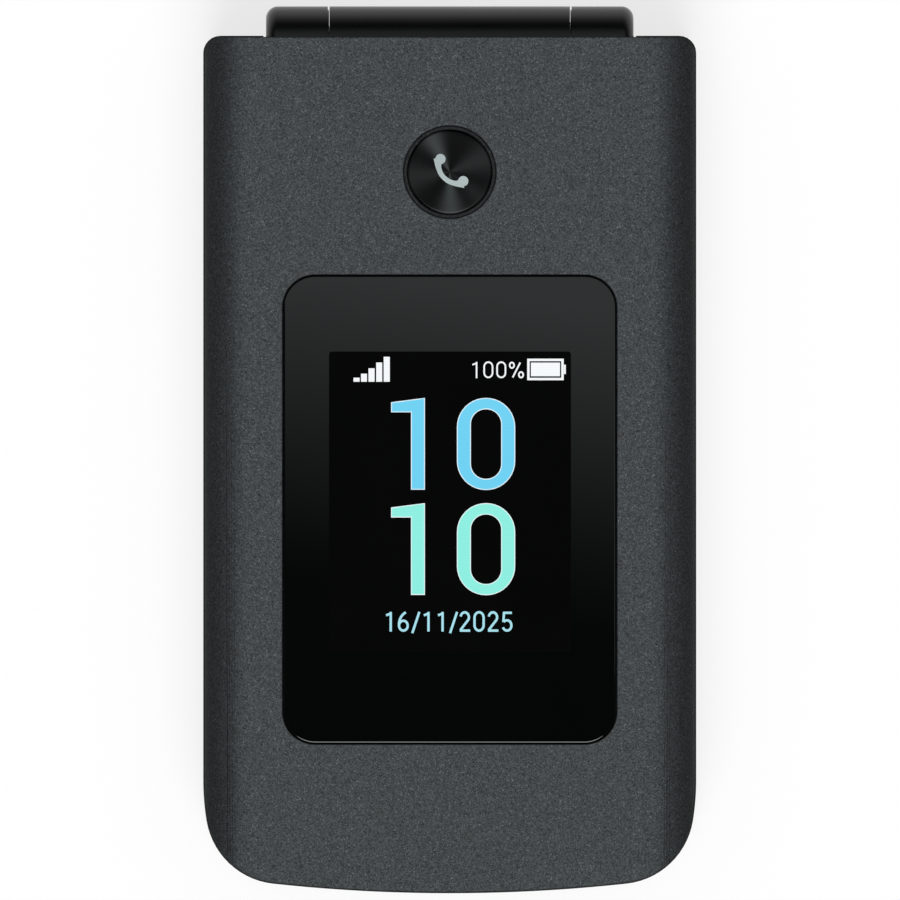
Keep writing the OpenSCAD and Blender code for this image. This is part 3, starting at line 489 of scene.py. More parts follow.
@dataclass(frozen=True)
class SpunMetal(Finish):
    """Metal turned on a lathe: rings round a centre, with painted highlights, soft wedges of light drawn into
    the colour that stay put whatever the light.
    """

    colour: Colour
    bright: Colour
    centre: Point
    # Painted highlights, each as angle in degrees, strength and narrowness.
    wedges: tuple[tuple[float, float, float], ...]
    roughness: float = 0.3
    ring: float = 0.12
    metal: float = 0.0
    gloss: float = 0.1

    def build(self, sheet: NodeSheet, shader: bpy.types.Node) -> None:
        """Draws the turning rings, and paints the wedges of highlight into the colour.

        Args:
            sheet: The material's node sheet.
            shader: The surface shader.
        """
        dx, dy, far = to_centre(sheet, self.centre)
        across, along = dx / sheet.math("MAXIMUM", far, 0.05), dy / sheet.math("MAXIMUM", far, 0.05)
        # Painted highlights: each wedge pulls the colour towards the bright colour, fixed on the piece.
        painted_wedge_light: Number = 0.0
        for degrees, strength, narrow in self.wedges:
            a = math.radians(degrees)
            facing = sheet.math("MAXIMUM", across * math.cos(a) + along * math.sin(a), 0.0)
            painted_wedge_light = painted_wedge_light + strength * facing ** narrow
        turning = sheet.wire(sheet.add("ShaderNodeTexNoise", {"noise_dimensions": "1D"}, {
            "W": far, "Scale": 1 / self.ring, "Detail": 3, "Roughness": 0.7}), 0)
        colour = sheet.mix(painted_wedge_light * (0.85 + 0.3 * turning), self.colour, self.bright)
        self.feed(sheet, shader, Base_Color=colour, Metallic=self.metal, Specular_IOR_Level=self.gloss,
                  Roughness=self.roughness + 0.14 * (turning - 0.5), Normal=sheet.bump(turning, 0.003, 0.3))


@dataclass(frozen=True)
class WornSteel(Finish):
    """Plain or plated steel with fine scratches and a trace of dirt in patches."""

    colour: Colour = (0.55, 0.56, 0.58)
    roughness: float = 0.28
    stretch: Colour = (0.06, 1, 1)

    def build(self, sheet: NodeSheet, shader: bpy.types.Node) -> None:
        """Lays the scratches along one axis.

        Args:
            sheet: The material's node sheet.
            shader: The surface shader.
        """
        scratch = sheet.noise(0.14, 3, 0.6, self.stretch)
        stain = sheet.noise(2.5, 3, 0.6)
        colour = sheet.mix(sheet.between(stain, 0.45, 0.8), self.colour, tuple(0.6 * c for c in self.colour))
        self.feed(sheet, shader, Base_Color=colour, Metallic=1.0,
                  Roughness=self.roughness + 0.16 * (scratch - 0.5) + 0.12 * (stain - 0.5),
                  Normal=sheet.bump(scratch, 0.004, 0.4))


@dataclass(frozen=True)
class WovenMesh(Finish):
    """Fine woven steel mesh: bright wires over dark holes."""

    pitch: float = 0.34
    colour: Colour = (0.3, 0.31, 0.32)

    def build(self, sheet: NodeSheet, shader: bpy.types.Node) -> None:
        """Weaves the wires from two sets of ridges.

        Args:
            sheet: The material's node sheet.
            shader: The surface shader.
        """
        x, y, _ = sheet.axes(sheet.place())
        across = sheet.math("PINGPONG", x / MM, self.pitch / 2) / (self.pitch / 2)
        along = sheet.math("PINGPONG", y / MM, self.pitch / 2) / (self.pitch / 2)
        wires = sheet.math("MAXIMUM", across, along)
        solid = sheet.between(wires, 0.45, 0.7)
        self.feed(sheet, shader, Base_Color=sheet.mix(solid, (0.006, 0.006, 0.006), self.colour),
                  Metallic=solid * 0.9, Roughness=0.6 - 0.25 * solid, Normal=sheet.bump(wires, 0.05))


@dataclass(frozen=True)
class CircuitBoard(Finish):
    """Solder mask over copper tracks, with rows of plated pads."""

    mask: Colour = (0.012, 0.07, 0.035)
    copper: Colour = (0.03, 0.16, 0.08)

    def build(self, sheet: NodeSheet, shader: bpy.types.Node) -> None:
        """Draws tracks and pads from squared-off noise and a grid.

        Args:
            sheet: The material's node sheet.
            shader: The surface shader.
        """
        x, y, _ = sheet.axes(sheet.place())
        noise = sheet.noise(2.6, 1, 0.4)
        tracks = sheet.between(sheet.math("PINGPONG", noise, 0.035), 0.018, 0.024)
        pad_x = sheet.math("PINGPONG", x / MM, 1.1)
        pad_y = sheet.math("PINGPONG", y / MM, 1.6)
        pads = (pad_x < 0.28) * (pad_y < 0.28) * (sheet.noise(7, 0) > 0.55)
        colour = sheet.mix(pads, sheet.mix(tracks, self.mask, self.copper), (0.62, 0.5, 0.26))
        self.feed(sheet, shader, Base_Color=colour, Metallic=pads, Roughness=0.42 - 0.1 * tracks,
                  Normal=sheet.bump(tracks, 0.03, 0.6))


@dataclass(frozen=True)
class FlexFilm(Finish):
    """Amber film with copper conductors under it."""

    def build(self, sheet: NodeSheet, shader: bpy.types.Node) -> None:
        """Lays the conductors side by side along the phone.

        Args:
            sheet: The material's node sheet.
            shader: The surface shader.
        """
        x, _, _ = sheet.axes(sheet.place())
        line = sheet.between(sheet.math("PINGPONG", x / MM, 0.21), 0.09, 0.13)
        stain = sheet.noise(3, 2)
        film = sheet.mix(stain, (0.3, 0.11, 0.012), (0.42, 0.17, 0.025))
        self.feed(sheet, shader, Base_Color=sheet.mix(line, film, (0.5, 0.2, 0.08)), Metallic=0.7 * line,
                  Roughness=0.26 + 0.12 * stain, Normal=sheet.bump(line, 0.02, 0.5))


@dataclass(frozen=True)
class SoftRubber(Finish):
    """Rubber: matt, slightly dusty, with a fine pebble."""

    colour: Colour = (0.02, 0.02, 0.021)

    def build(self, sheet: NodeSheet, shader: bpy.types.Node) -> None:
        """Adds dust and pebble.

        Args:
            sheet: The material's node sheet.
            shader: The surface shader.
        """
        pebble = sheet.noise(0.22, 2, 0.6)
        dust = sheet.between(sheet.noise(1.6, 4, 0.65), 0.5, 0.85)
        colour = sheet.mix(dust, self.colour, tuple(c + 0.04 for c in self.colour))
        self.feed(sheet, shader, Base_Color=colour, Roughness=0.72 + 0.15 * (pebble - 0.5),
                  Normal=sheet.bump(pebble, 0.01, 0.6))


@dataclass(frozen=True)
class WrappedCell(Finish):
    """Battery in a printed wrap, with folded seams along its long sides."""

    colour: Colour = (0.035, 0.037, 0.04)

    def build(self, sheet: NodeSheet, shader: bpy.types.Node) -> None:
        """Adds the fold lines and the slight orange peel of the film.

        Args:
            sheet: The material's node sheet.
            shader: The surface shader.
        """
        x, _, _ = sheet.axes(sheet.place())
        peel = sheet.noise(0.9, 2, 0.5)
        seam = sheet.between(sheet.math("ABSOLUTE", sheet.math("ABSOLUTE", x / MM) - 20.2), 0.0, 0.18)
        colour = sheet.mix(seam, tuple(2.2 * c for c in self.colour), self.colour)
        self.feed(sheet, shader, Base_Color=colour, Roughness=0.36 + 0.1 * (peel - 0.5),
                  Normal=sheet.bump(peel + 0.8 * seam, 0.02, 0.5))


@dataclass(frozen=True)
class CoatedLens(Finish):
    """Cover of the camera: black ring round a coated lens."""

    centre: Point

    def build(self, sheet: NodeSheet, shader: bpy.types.Node) -> None:
        """Draws the rings of the lens and its violet coating.

        Args:
            sheet: The material's node sheet.
            shader: The surface shader.
        """
        _, _, far = to_centre(sheet, self.centre)
        lens = sheet.between(far, 1.75, 1.6)
        rim = sheet.between(sheet.math("ABSOLUTE", far - 2.0), 0.16, 0.1)
        haze = sheet.noise(1.4, 2)
        coat = sheet.mix(far / 1.7 + 0.2 * (haze - 0.5), (0.012, 0.006, 0.03), (0.004, 0.014, 0.02))
        colour = sheet.mix(rim, sheet.mix(lens, (0.004, 0.004, 0.005), coat), (0.09, 0.09, 0.095))
        self.feed(sheet, shader, Base_Color=colour, Roughness=0.04 + 0.3 * rim, Metallic=0.6 * rim)


@dataclass(frozen=True)
class DisplayGlass(Finish):
    """Dark display in its thin frame, with the faint grid of its cells."""

    def build(self, sheet: NodeSheet, shader: bpy.types.Node) -> None:
        """Draws the cells as a faint regular pattern.

        Args:
            sheet: The material's node sheet.
            shader: The surface shader.
        """
        x, y, _ = sheet.axes(sheet.place())
        grid = sheet.math("PINGPONG", x / MM, 0.11) * sheet.math("PINGPONG", y / MM, 0.11) / 0.0121
        tone = sheet.noise(20, 1)
        colour = sheet.mix(0.6 * grid + 0.4 * tone, (0.008, 0.009, 0.012), (0.02, 0.022, 0.027))
        self.feed(sheet, shader, Base_Color=colour, Roughness=0.1 + 0.1 * tone, Specular_IOR_Level=0.6)


BUTTON = (0.0, 32.29)
NAVIGATION = (0.0, 24.0)
CAMERA = (0.0, 36.0)
KEY_PRINT = MouldedPlastic("key_print", linear(206, 210, 212), 0.45, 0.3, 0.002)


class Slot(Enum):
    """The record's material slots, each with its finish."""

    cover_paint = FlakePaint("cover_paint", linear(64, 67, 69))
    door_paint = FlakePaint("door_paint", linear(62, 65, 66), spread=0.8)
    frame_plastic = FramePlastic("frame_plastic", linear(8, 8, 9))
    outer_window = GlossWindow("outer_window")
    main_window = GlossWindow("main_window", linear(7, 8, 10))
    display_glass = DisplayGlass("display_glass")
    circuit_board = CircuitBoard("circuit_board")
    ring_metal = FlakePaint("ring_metal", linear(36, 38, 39), 0.12, 0.8)
    # The wedges given here are painted highlights drawn into the button's colour.
    button_black = SpunMetal("button_black", linear(3, 3, 4), linear(58, 62, 62), BUTTON,
                             ((118, 0.95, 26), (272, 0.85, 22), (22, 0.35, 12), (188, 0.3, 14), (320, 0.2, 30)))
    component_black = MouldedPlastic("component_black", (0.016, 0.016, 0.018), 0.5, 0.3)
    mesh_steel = WovenMesh("mesh_steel")
    rubber_black = SoftRubber("rubber_black")
    rubber_grey = SoftRubber("rubber_grey", (0.24, 0.25, 0.26))
    screw_steel = WornSteel("screw_steel", (0.2, 0.2, 0.21), 0.34, (1, 1, 1))
    bright_steel = WornSteel("bright_steel")
    spring_steel = WornSteel("spring_steel", (0.5, 0.5, 0.52), 0.24, (1, 0.2, 0.2))
    flex_film = FlexFilm("flex_film")
    battery_can = WrappedCell("battery_can")
    sim_plastic = MouldedPlastic("sim_plastic", (0.75, 0.74, 0.7), 0.42, 0.4)
    lens_window = CoatedLens("lens_window", CAMERA)
    key_plastic = MouldedPlastic("key_plastic", linear(24, 25, 27), 0.3, 0.2, 0.004)
    # Its two wedges are painted highlights drawn into the ring's colour.
    ring_silver = SpunMetal("ring_silver", (0.3, 0.305, 0.315), (0.62, 0.63, 0.65), NAVIGATION,
                            ((118, 0.9, 10), (298, 0.9, 10)), 0.3, 0.2, 0.8, 0.5)


# ---------- Mesh code ----------


def make(name: str, verts: Iterable[Sequence[float]], faces: Iterable[Sequence[int]], body: str, finish: Finish,
         crease: float = 32) -> bpy.types.Object:
    """Makes a piece from points in millimetres.

    Args:
        name: Name of the piece.
        verts: Its points.
        faces: Its faces.
        body: Body that it rides on.
        finish: Its finish.
        crease: Angle in degrees above which an edge stays sharp.

    Returns:
        The piece.
    """
    mesh = bpy.data.meshes.new(name)
    mesh.from_pydata([tuple(MM * c for c in v) for v in verts], [], list(faces))
    mesh.update()
    piece = bpy.data.objects.new(name, mesh)
    bpy.context.scene.collection.objects.link(piece)
    return dress(piece, body, finish, crease)


def dress(piece: bpy.types.Object, body: str, finish: Finish,
          crease: float = 32) -> bpy.types.Object:
    """Shades a piece, gives it its finish and lets it ride on its body.

    Args:
        piece: The piece.
        body: Body that it rides on.
        finish: Its finish.
        crease: Angle in degrees above which an edge stays sharp.

    Returns:
        The piece.
    """
    mesh = piece.data
    work = bmesh.new()
    work.from_mesh(mesh)
    bmesh.ops.recalc_face_normals(work, faces=work.faces)
    work.to_mesh(mesh)
    work.free()
    mesh.shade_smooth()
    mesh.set_sharp_from_angle(angle=math.radians(crease))
    piece.modifiers.new("even", "WEIGHTED_NORMAL").keep_sharp = True
    mesh = apply(piece).data
    mesh.materials.clear()
    mesh.materials.append(finish.material())
    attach(piece, body)
    LOG.info("%s: %d faces, on %s", piece.name, len(mesh.polygons), body)
    return piece


def apply(piece: bpy.types.Object) -> bpy.types.Object:
    """Turns the modifiers of a piece into its mesh.

    Args:
        piece: The piece.

    Returns:
        The same piece, with the finished mesh.
    """
    scene = bpy.context.evaluated_depsgraph_get()
    mesh = bpy.data.meshes.new_from_object(piece.evaluated_get(scene))
    piece.modifiers.clear()
    piece.data = mesh
    return piece


def rough_solid(verts: Iterable[Sequence[float]], faces: Iterable[Sequence[int]]) -> bpy.types.Object:
    """Makes a closed solid to be cut or joined.

    Args:
        verts: Its points in millimetres.
        faces: Its faces.

    Returns:
        The solid.
    """
    mesh = bpy.data.meshes.new("solid")
    mesh.from_pydata([tuple(MM * c for c in v) for v in verts], [], list(faces))
    solid = bpy.data.objects.new("solid", mesh)
    bpy.context.scene.collection.objects.link(solid)
    work = bmesh.new()
    work.from_mesh(mesh)
    bmesh.ops.recalc_face_normals(work, faces=work.faces)
    work.to_mesh(mesh)
    work.free()
    return solid


def prism(outline: Sequence[Point], low: float, high: float,
          turn: Callable[[float, float, float], tuple[float, float, float]] | None = None) -> bpy.types.Object:
    """A solid with one outline.

    Args:
        outline: Points of the outline in order.
        low: Where it starts along the third axis.
        high: Where it ends.
        turn: Maps (outline x, outline y, height) to a point; plain upright where it is None.

    Returns:
        The solid.
    """
    turn = turn or (lambda a, b, c: (a, b, c))
    count = len(outline)
    verts = [turn(x, y, z) for z in (low, high) for x, y in outline]
    faces = [list(range(count)), list(range(count, 2 * count))]
    faces += [[i, (i + 1) % count, count + (i + 1) % count, count + i] for i in range(count)]
    return rough_solid(verts, faces)


def combine(body: bpy.types.Object, other: bpy.types.Object, operation: str) -> bpy.types.Object:
    """Cuts, joins or keeps what two solids share, and drops the second.

    Args:
        body: The solid that stays.
        other: The solid that works on it.
        operation: DIFFERENCE, UNION or INTERSECT.

    Returns:
        The solid that stays.
    """
    step = body.modifiers.new("combine", "BOOLEAN")
    step.operation = operation
    step.solver = "EXACT"
    step.object = other
    apply(body)
    bpy.data.objects.remove(other)
    return body


def soften(piece: bpy.types.Object, width: float, segments: int = 3, angle: float = 35) -> bpy.types.Object:
    """Rounds the sharp edges of a solid.

    Args:
        piece: The solid.
        width: Width of the rounding in millimetres.
        segments: Faces across it.
        angle: Edges sharper than this many degrees are rounded.

    Returns:
        The solid.
    """
    step = piece.modifiers.new("soften", "BEVEL")
    step.width = width * MM
    step.segments = segments
    step.limit_method = "ANGLE"
    step.angle_limit = math.radians(angle)
    step.use_clamp_overlap = False
    step.miter_outer = "MITER_ARC"
    return apply(piece)


def arc(centre: Point, radius: float, start: float, end: float, count: int) -> list[Point]:
    """Points on an arc, both ends included.

    Args:
        centre: Its centre.
        radius: Its radius.
        start: Angle of the first point in degrees.
        end: Angle of the last point.
        count: Number of steps.

    Returns:
        The points.
    """
    angles = [math.radians(start + (end - start) * i / count) for i in range(count + 1)]
    return [(centre[0] + radius * math.cos(a), centre[1] + radius * math.sin(a)) for a in angles]


def rounded(centre: Point, width: float, length: float, radius: float, count: int = 8) -> list[Point]:
    """Outline of a rectangle with round corners.

    Args:
        centre: Its middle.
        width: Size along X.
        length: Size along Y.
        radius: Radius of its corners.
        count: Steps on each corner.

    Returns:
        The points, counterclockwise.
    """
    x, y = centre
    a, b, radius = width / 2, length / 2, max(radius, 0.02)
    corners = [((x + a - radius, y + b - radius), 0), ((x - a + radius, y + b - radius), 90),
               ((x - a + radius, y - b + radius), 180), ((x + a - radius, y - b + radius), 270)]
    return [p for middle, start in corners for p in arc(middle, radius, start, start + 90, count)]


def loft(rings: Sequence[Ring], close_first: bool = True,
         close_last: bool = True) -> tuple[Ring, list[list[int]]]:
    """Joins rings with the same number of points into one skin.

    Args:
        rings: The rings in order.
        close_first: Whether a face closes the first ring.
        close_last: Whether a face closes the last ring.

    Returns:
        Its points and faces.
    """
    count = len(rings[0])
    verts = [p for ring in rings for p in ring]
    faces = [[k * count + i, k * count + (i + 1) % count, (k + 1) * count + (i + 1) % count,
              (k + 1) * count + i] for k in range(len(rings) - 1) for i in range(count)]
    if close_first:
        faces.append(list(range(count)))
    if close_last:
        faces.append(list(range(len(verts) - count, len(verts))))
    return verts, faces


def level(outline: Sequence[Point], z: float) -> Ring:
    """An outline at one height."""
    return [(x, y, z) for x, y in outline]


def turned(centre: Point, profile: Sequence[Point], count: int = 96,
           hollow: bool = False) -> tuple[Ring, list[list[int]]]:
    """Turns a profile of (radius, height) about an upright axis.

    Args:
        centre: Place of the axis.
        profile: Points from the bottom centre outwards and up, or round the section of a hollow piece.
        count: Steps round the axis.
        hollow: Whether the profile is a closed section away from the axis.

    Returns:
        Points and faces.
    """
    rings = [[(centre[0] + r * math.cos(2 * math.pi * i / count),
               centre[1] + r * math.sin(2 * math.pi * i / count), z) for i in range(count)]
             for r, z in (list(profile) + [profile[0]] if hollow else profile)]
    return loft(rings, not hollow, not hollow)


def stroke(path: Sequence[Point], width: Callable[[float], float] | float) -> list[Point]:
    """Outline of a line with round ends.

    Args:
        path: Points of its middle.
        width: Its width, or a function of the share of the way along it.

    Returns:
        The outline.
    """
    wide = width if callable(width) else (lambda share: width)
    left: list[Point] = []
    right: list[Point] = []
    last = len(path) - 1
    for i, (x, y) in enumerate(path):
        ahead, behind = path[min(i + 1, last)], path[max(i - 1, 0)]
        dx, dy = ahead[0] - behind[0], ahead[1] - behind[1]
        size = math.hypot(dx, dy) or 1
        half = wide(i / last) / 2
        left.append((x - dy / size * half, y + dx / size * half))
        right.append((x + dy / size * half, y - dx / size * half))
    return left + right[::-1]


def printed(name: str, outlines: Sequence[Sequence[Point]], z: float, thick: float, body: str, finish: Finish,
            holes: Sequence[Sequence[Point]] = ()) -> bpy.types.Object:
    """A thin printed mark made of one or more shapes.

    Args:
        name: Name of the piece.
        outlines: Outer outlines.
        z: Height of its lower face.
        thick: Its thickness.
        body: Body that it rides on.
        finish: Its finish.
        holes: Outlines that are cut out.

    Returns:
        The piece.
    """
    curve = bpy.data.curves.new(name, "CURVE")
    curve.dimensions = "2D"
    curve.fill_mode = "BOTH"
    curve.extrude = thick / 2 * MM
    for outline in list(outlines) + list(holes):
        spline = curve.splines.new("POLY")
        spline.points.add(len(outline) - 1)
        spline.use_cyclic_u = True
        for point, (x, y) in zip(spline.points, outline):
            point.co = (x * MM, y * MM, 0, 1)
    return flatten(name, curve, z + thick / 2, body, finish)


def oval(x: float, y: float, wide: float, tall: float, start: float, end: float,
         count: int = 24) -> list[Point]:
    """Points on an oval, from one angle to another in degrees, for a middle and two half sizes."""
    return [(x + wide * px, y + tall * py) for px, py in arc((0, 0), 1, start, end, count)]


def sign(figure: str) -> tuple[float, list[list[Point]]]:
    """Centre lines of a figure one unit tall.

    Args:
        figure: The figure.

    Returns:
        Its width with the gap after it, and its lines.
    """
    ring = oval(0.28, 0.68, 0.22, 0.275, 0, 180) + oval(0.28, 0.32, 0.22, 0.275, 180, 360) + [(0.5, 0.68)]
    six = [oval(0.27, 0.29, 0.21, 0.245, 0, 360), oval(0.60, 0.34, 0.54, 0.66, 113, 182)]
    shapes: dict[str, tuple[float, list[list[Point]]]] = {
        "0": (0.68, [ring]),
        "1": (0.68, [[(0.12, 0.80), (0.36, 0.90)], [(0.34, 0.97), (0.34, 0.0)]]),
        "2": (0.68, [oval(0.27, 0.70, 0.2, 0.25, 170, -25) + [(0.06, 0.07)], [(0.03, 0.045), (0.53, 0.045)]]),
        "3": (0.68, [oval(0.27, 0.73, 0.19, 0.215, 155, -90), oval(0.27, 0.28, 0.21, 0.235, 90, -158)]),
        "4": (0.68, [[(0.41, 0.0), (0.41, 0.97)], [(0.40, 0.93), (0.05, 0.29)], [(0.02, 0.28), (0.56, 0.28)]]),
        "5": (0.68, [[(0.50, 0.925), (0.09, 0.925)], [(0.125, 0.96), (0.09, 0.47)],
                     oval(0.27, 0.30, 0.21, 0.255, 135, -158)]),
        "6": (0.68, six),
        "7": (0.68, [[(0.04, 0.925), (0.53, 0.925)], [(0.50, 0.92), (0.19, 0.0)]]),
        "8": (0.68, [oval(0.28, 0.72, 0.18, 0.205, 0, 360), oval(0.28, 0.28, 0.215, 0.235, 0, 360)]),
        "9": (0.68, [[(0.55 - x, 0.97 - y) for x, y in line] for line in six]),
        "/": (0.46, [[(0.02, -0.08), (0.36, 0.97)]]),
        "%": (0.88, [oval(0.16, 0.77, 0.115, 0.165, 0, 360), oval(0.64, 0.20, 0.115, 0.165, 0, 360),
                     [(0.20, 0.04), (0.60, 0.93)]]),
        "*": (0.62, [[(0.28 + 0.26 * px, 0.62 + 0.26 * py), (0.28 - 0.26 * px, 0.62 - 0.26 * py)]
                     for px, py in arc((0, 0), 1, 30, 150, 2)]),
        "#": (0.72, [[(0.16, 0.06), (0.24, 0.92)], [(0.38, 0.06), (0.46, 0.92)], [(0.03, 0.34), (0.56, 0.34)],
                     [(0.06, 0.64), (0.59, 0.64)]]),
    }
    return shapes[figure]


def figures(name: str, words: str, centre: Point, height: float, z: float, body: str, finish: Finish,
            thick: float = 0.012, width: float | None = None, weight: float = 0.1) -> bpy.types.Object:
    """Plain figures printed on a piece, drawn with strokes of one weight.

    Args:
        name: Name of the piece.
        words: The figures.
        centre: Their middle.
        height: Height of a digit in millimetres.
        z: Height of the lower face.
        body: Body that they ride on.
        finish: Their finish.
        thick: Their thickness.
        width: Width that the line is fitted to, where one is given.
        weight: Width of the strokes as a share of the height.

    Returns:
        The piece.
    """
    lines: list[list[Point]] = []
    pen = 0.0
    for figure in words:
        step, shape = sign(figure)
        lines += [[(pen + x, y) for x, y in line] for line in shape]
        pen += step
    low, high = min(x for line in lines for x, _ in line), max(x for line in lines for x, _ in line)
    stretch = ((width / height) - weight) / (high - low) if width else 1.0
    placed = [[(centre[0] + (x - (low + high) / 2) * height * stretch, centre[1] + (y - 0.485) * height)
               for x, y in line] for line in lines]
    return ribbons(name, placed, weight * height, z, thick, body, finish)


def ribbons(name: str, lines: Sequence[Sequence[Point]], width: Callable[[float], float] | float, z: float,
            thick: float, body: str, finish: Finish) -> bpy.types.Object:
    """Flat printed strokes along lines.

    Args:
        name: Name of the piece.
        lines: Centre lines of the strokes.
        width: Width of a stroke, or a function of the share of the way along it.
        z: Height of the lower face.
        thick: Thickness of the print.
        body: Body that it rides on.
        finish: Its finish.

    Returns:
        The piece.
    """
    verts: list[tuple[float, float, float]] = []
    faces: list[list[int]] = []
    for line in lines:
        outline = stroke(line, width)
        count, first = len(line), len(verts)
        verts += [(x, y, height) for height in (z, z + thick) for x, y in outline]
        for i in range(count - 1):
            for shift in (0, 2 * count):
                faces.append([first + shift + k for k in (i, i + 1, 2 * count - 2 - i, 2 * count - 1 - i)])
        both = 2 * count
        faces += [[first + k for k in (i, (i + 1) % both, both + (i + 1) % both, both + i)]
                  for i in range(both)]
    return make(name, verts, faces, body, finish)


def flatten(name: str, curve: bpy.types.Curve, z: float, body: str, finish: Finish) -> bpy.types.Object:
    """Turns a flat curve into a dressed mesh.

    Args:
        name: Name of the piece.
        curve: The curve.
        z: Height of its middle in millimetres.
        body: Body that it rides on.
        finish: Its finish.

    Returns:
        The piece.
    """
    drawn = bpy.data.objects.new(name + "_curve", curve)
    bpy.context.scene.collection.objects.link(drawn)
    scene = bpy.context.evaluated_depsgraph_get()
    mesh = bpy.data.meshes.new_from_object(drawn.evaluated_get(scene))
    bpy.data.objects.remove(drawn)
    for v in mesh.vertices:
        v.co.z += z * MM
    piece = bpy.data.objects.new(name, mesh)
    bpy.context.scene.collection.objects.link(piece)
    return dress(piece, body, finish)


# ---------- Sub-assemblies ----------


COVER_RIM = 12.6


@dataclass
class Levels:
    """Heights that the pieces share, read from the frame."""

    lid_top: float
    cover_low: float
    window_top: float
    window_low: float
    ring_top: float
    key_top: float
    flange_low: float

    @classmethod
    def read(cls) -> "Levels":
        """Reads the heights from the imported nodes."""
        cover, window, ring, key = (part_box(node) for node in (
            "lid_cover", "outer_window", "call_button_ring", "key_5"))
        return cls(cover[1].z / MM, COVER_RIM, window[1].z / MM, window[0].z / MM, ring[1].z / MM,
                   key[1].z / MM, key[0].z / MM)


@dataclass
class Outline:
    """Outline of the phone seen from above."""

    half_w: float = 28.7
    free_end: float = -51.65
    hinge_end: float = 48.2
    bow_r: float = 191
    ease_r: float = 30
    ease_l: float = 13.2
    corner_r: float = 8.8
    end_r: float = 2

    def corner(self) -> Point:
        """Centre of the right corner at the free end, where the side's and the end's arcs meet.

        Returns:
            The centre.
        """
        side = Vector((self.half_w - self.ease_r, self.free_end + self.ease_l))
        bow = Vector((0, self.free_end + self.bow_r))
        r1, r2 = self.ease_r - self.corner_r, self.bow_r - self.corner_r
        gap = bow - side
        d = gap.length
        a = (r1 * r1 - r2 * r2 + d * d) / (2 * d)
        h = math.sqrt(r1 * r1 - a * a)
        u = gap / d
        place = side + a * u + h * Vector((u.y, -u.x))
        return place.x, place.y

    def points(self, inset: float = 0) -> list[Point]:
        """Points of the outline, moved in by inset.

        Args:
            inset: Distance in millimetres.

        Returns:
            The points, clockwise from the hinge end.
        """
        r = max(self.end_r - inset, 0.4)
        side = (self.half_w - self.ease_r, self.free_end + self.ease_l)
        bow = (0.0, self.free_end + self.bow_r)
        corner = self.corner()
        turn_side = math.degrees(math.atan2(corner[1] - side[1], corner[0] - side[0]))
        turn_bow = math.degrees(math.atan2(corner[1] - bow[1], corner[0] - bow[0]))
        right = arc((self.half_w - inset - r, self.hinge_end - inset - r), r, 90, 0, 12)
        right += arc(side, self.ease_r - inset, 0, turn_side, 18)
        right += arc(corner, self.corner_r - inset, turn_side, turn_bow, 28)[1:]
        right += arc(bow, self.bow_r - inset, turn_bow, -90, 24)[1:]
        return right + [(-x, y) for x, y in right[-2::-1]]


@dataclass
class Lid:
    """Painted cover of the lid with its long edges rounded over."""

    levels: Levels
    outline: Outline
    rim: float = 0.2
    wall: float = 1.3
    side_r: float = 5.5
    base: float = 11.1
    roof: float = 17.5
    window: tuple[Point, float, float, float] = ((0.0, -6.95), 38.9, 54.6, 3.8)
    ledge: tuple[Point, float, float, float] = ((0.0, -6.95), 35.5, 51.2, 2.1)
    button_r: float = 5.4
    hinge: Point = (47.85, 10.85)
    hood_r: float = 5.2
    hood_half: float = 22.8
    edge: float = 0.14

    def profile(self, inset: float, top: float, radius: float) -> list[Point]:
        """Cross-section of the cover, with its upper corners rounded.

        Args:
            inset: Distance from the phone's side.
            top: Height of its top.
            radius: Radius of its upper corners.

        Returns:
            Points of (x, height).
        """
        w = self.outline.half_w - inset
        left = arc((-w + radius, top - radius), radius, 90, 180, 26)
        right = arc((w - radius, top - radius), radius, 0, 90, 26)
        return [(-w, self.base)] + [(w, self.base)] + right + left

    def block(self, inset: float, low: float, top: float, radius: float) -> bpy.types.Object:
        """A solid of the lid from one height to its rounded top.

        Args:
            inset: Distance from the phone's outline.
            low: Height of its lower face.
            top: Height of its top.
            radius: Radius of its long upper edges.

        Returns:
            The solid.
        """
        solid = prism(self.outline.points(inset), low, top)
        slab = prism(self.profile(inset, top, radius), -80, 80, lambda x, z, y: (x, y, z))
        return combine(solid, slab, "INTERSECT")

    def build(self) -> None:
        """Builds the cover: shell, window seat, button hole and softened edges."""
        top, low = self.levels.lid_top, self.levels.cover_low
        shell = self.block(self.rim, low, top, self.side_r)
        inner = self.block(self.rim + self.wall, low - 1, self.roof, self.side_r - self.wall)
        combine(shell, inner, "DIFFERENCE")
        seat = prism(rounded(self.window[0], *self.window[1:], 16), self.levels.window_low, top + 1)
        combine(shell, seat, "DIFFERENCE")
        combine(shell, prism(rounded(self.ledge[0], *self.ledge[1:], 12), self.roof - 1, top), "DIFFERENCE")
        hole = prism(arc(BUTTON, self.button_r, 0, 360, 96)[:-1], self.roof - 1, top + 1)
        combine(shell, hole, "DIFFERENCE")
        hood = prism(arc(self.hinge, self.hood_r, 0, 360, 72)[:-1], -self.hood_half, self.hood_half,
                     lambda y, z, x: (x, y, z))
        combine(shell, hood, "DIFFERENCE")
        soften(shell, self.edge, 3)
        shell.name = "cover"
        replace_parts(dress(shell, "lid", Slot.cover_paint.value), "lid_cover")


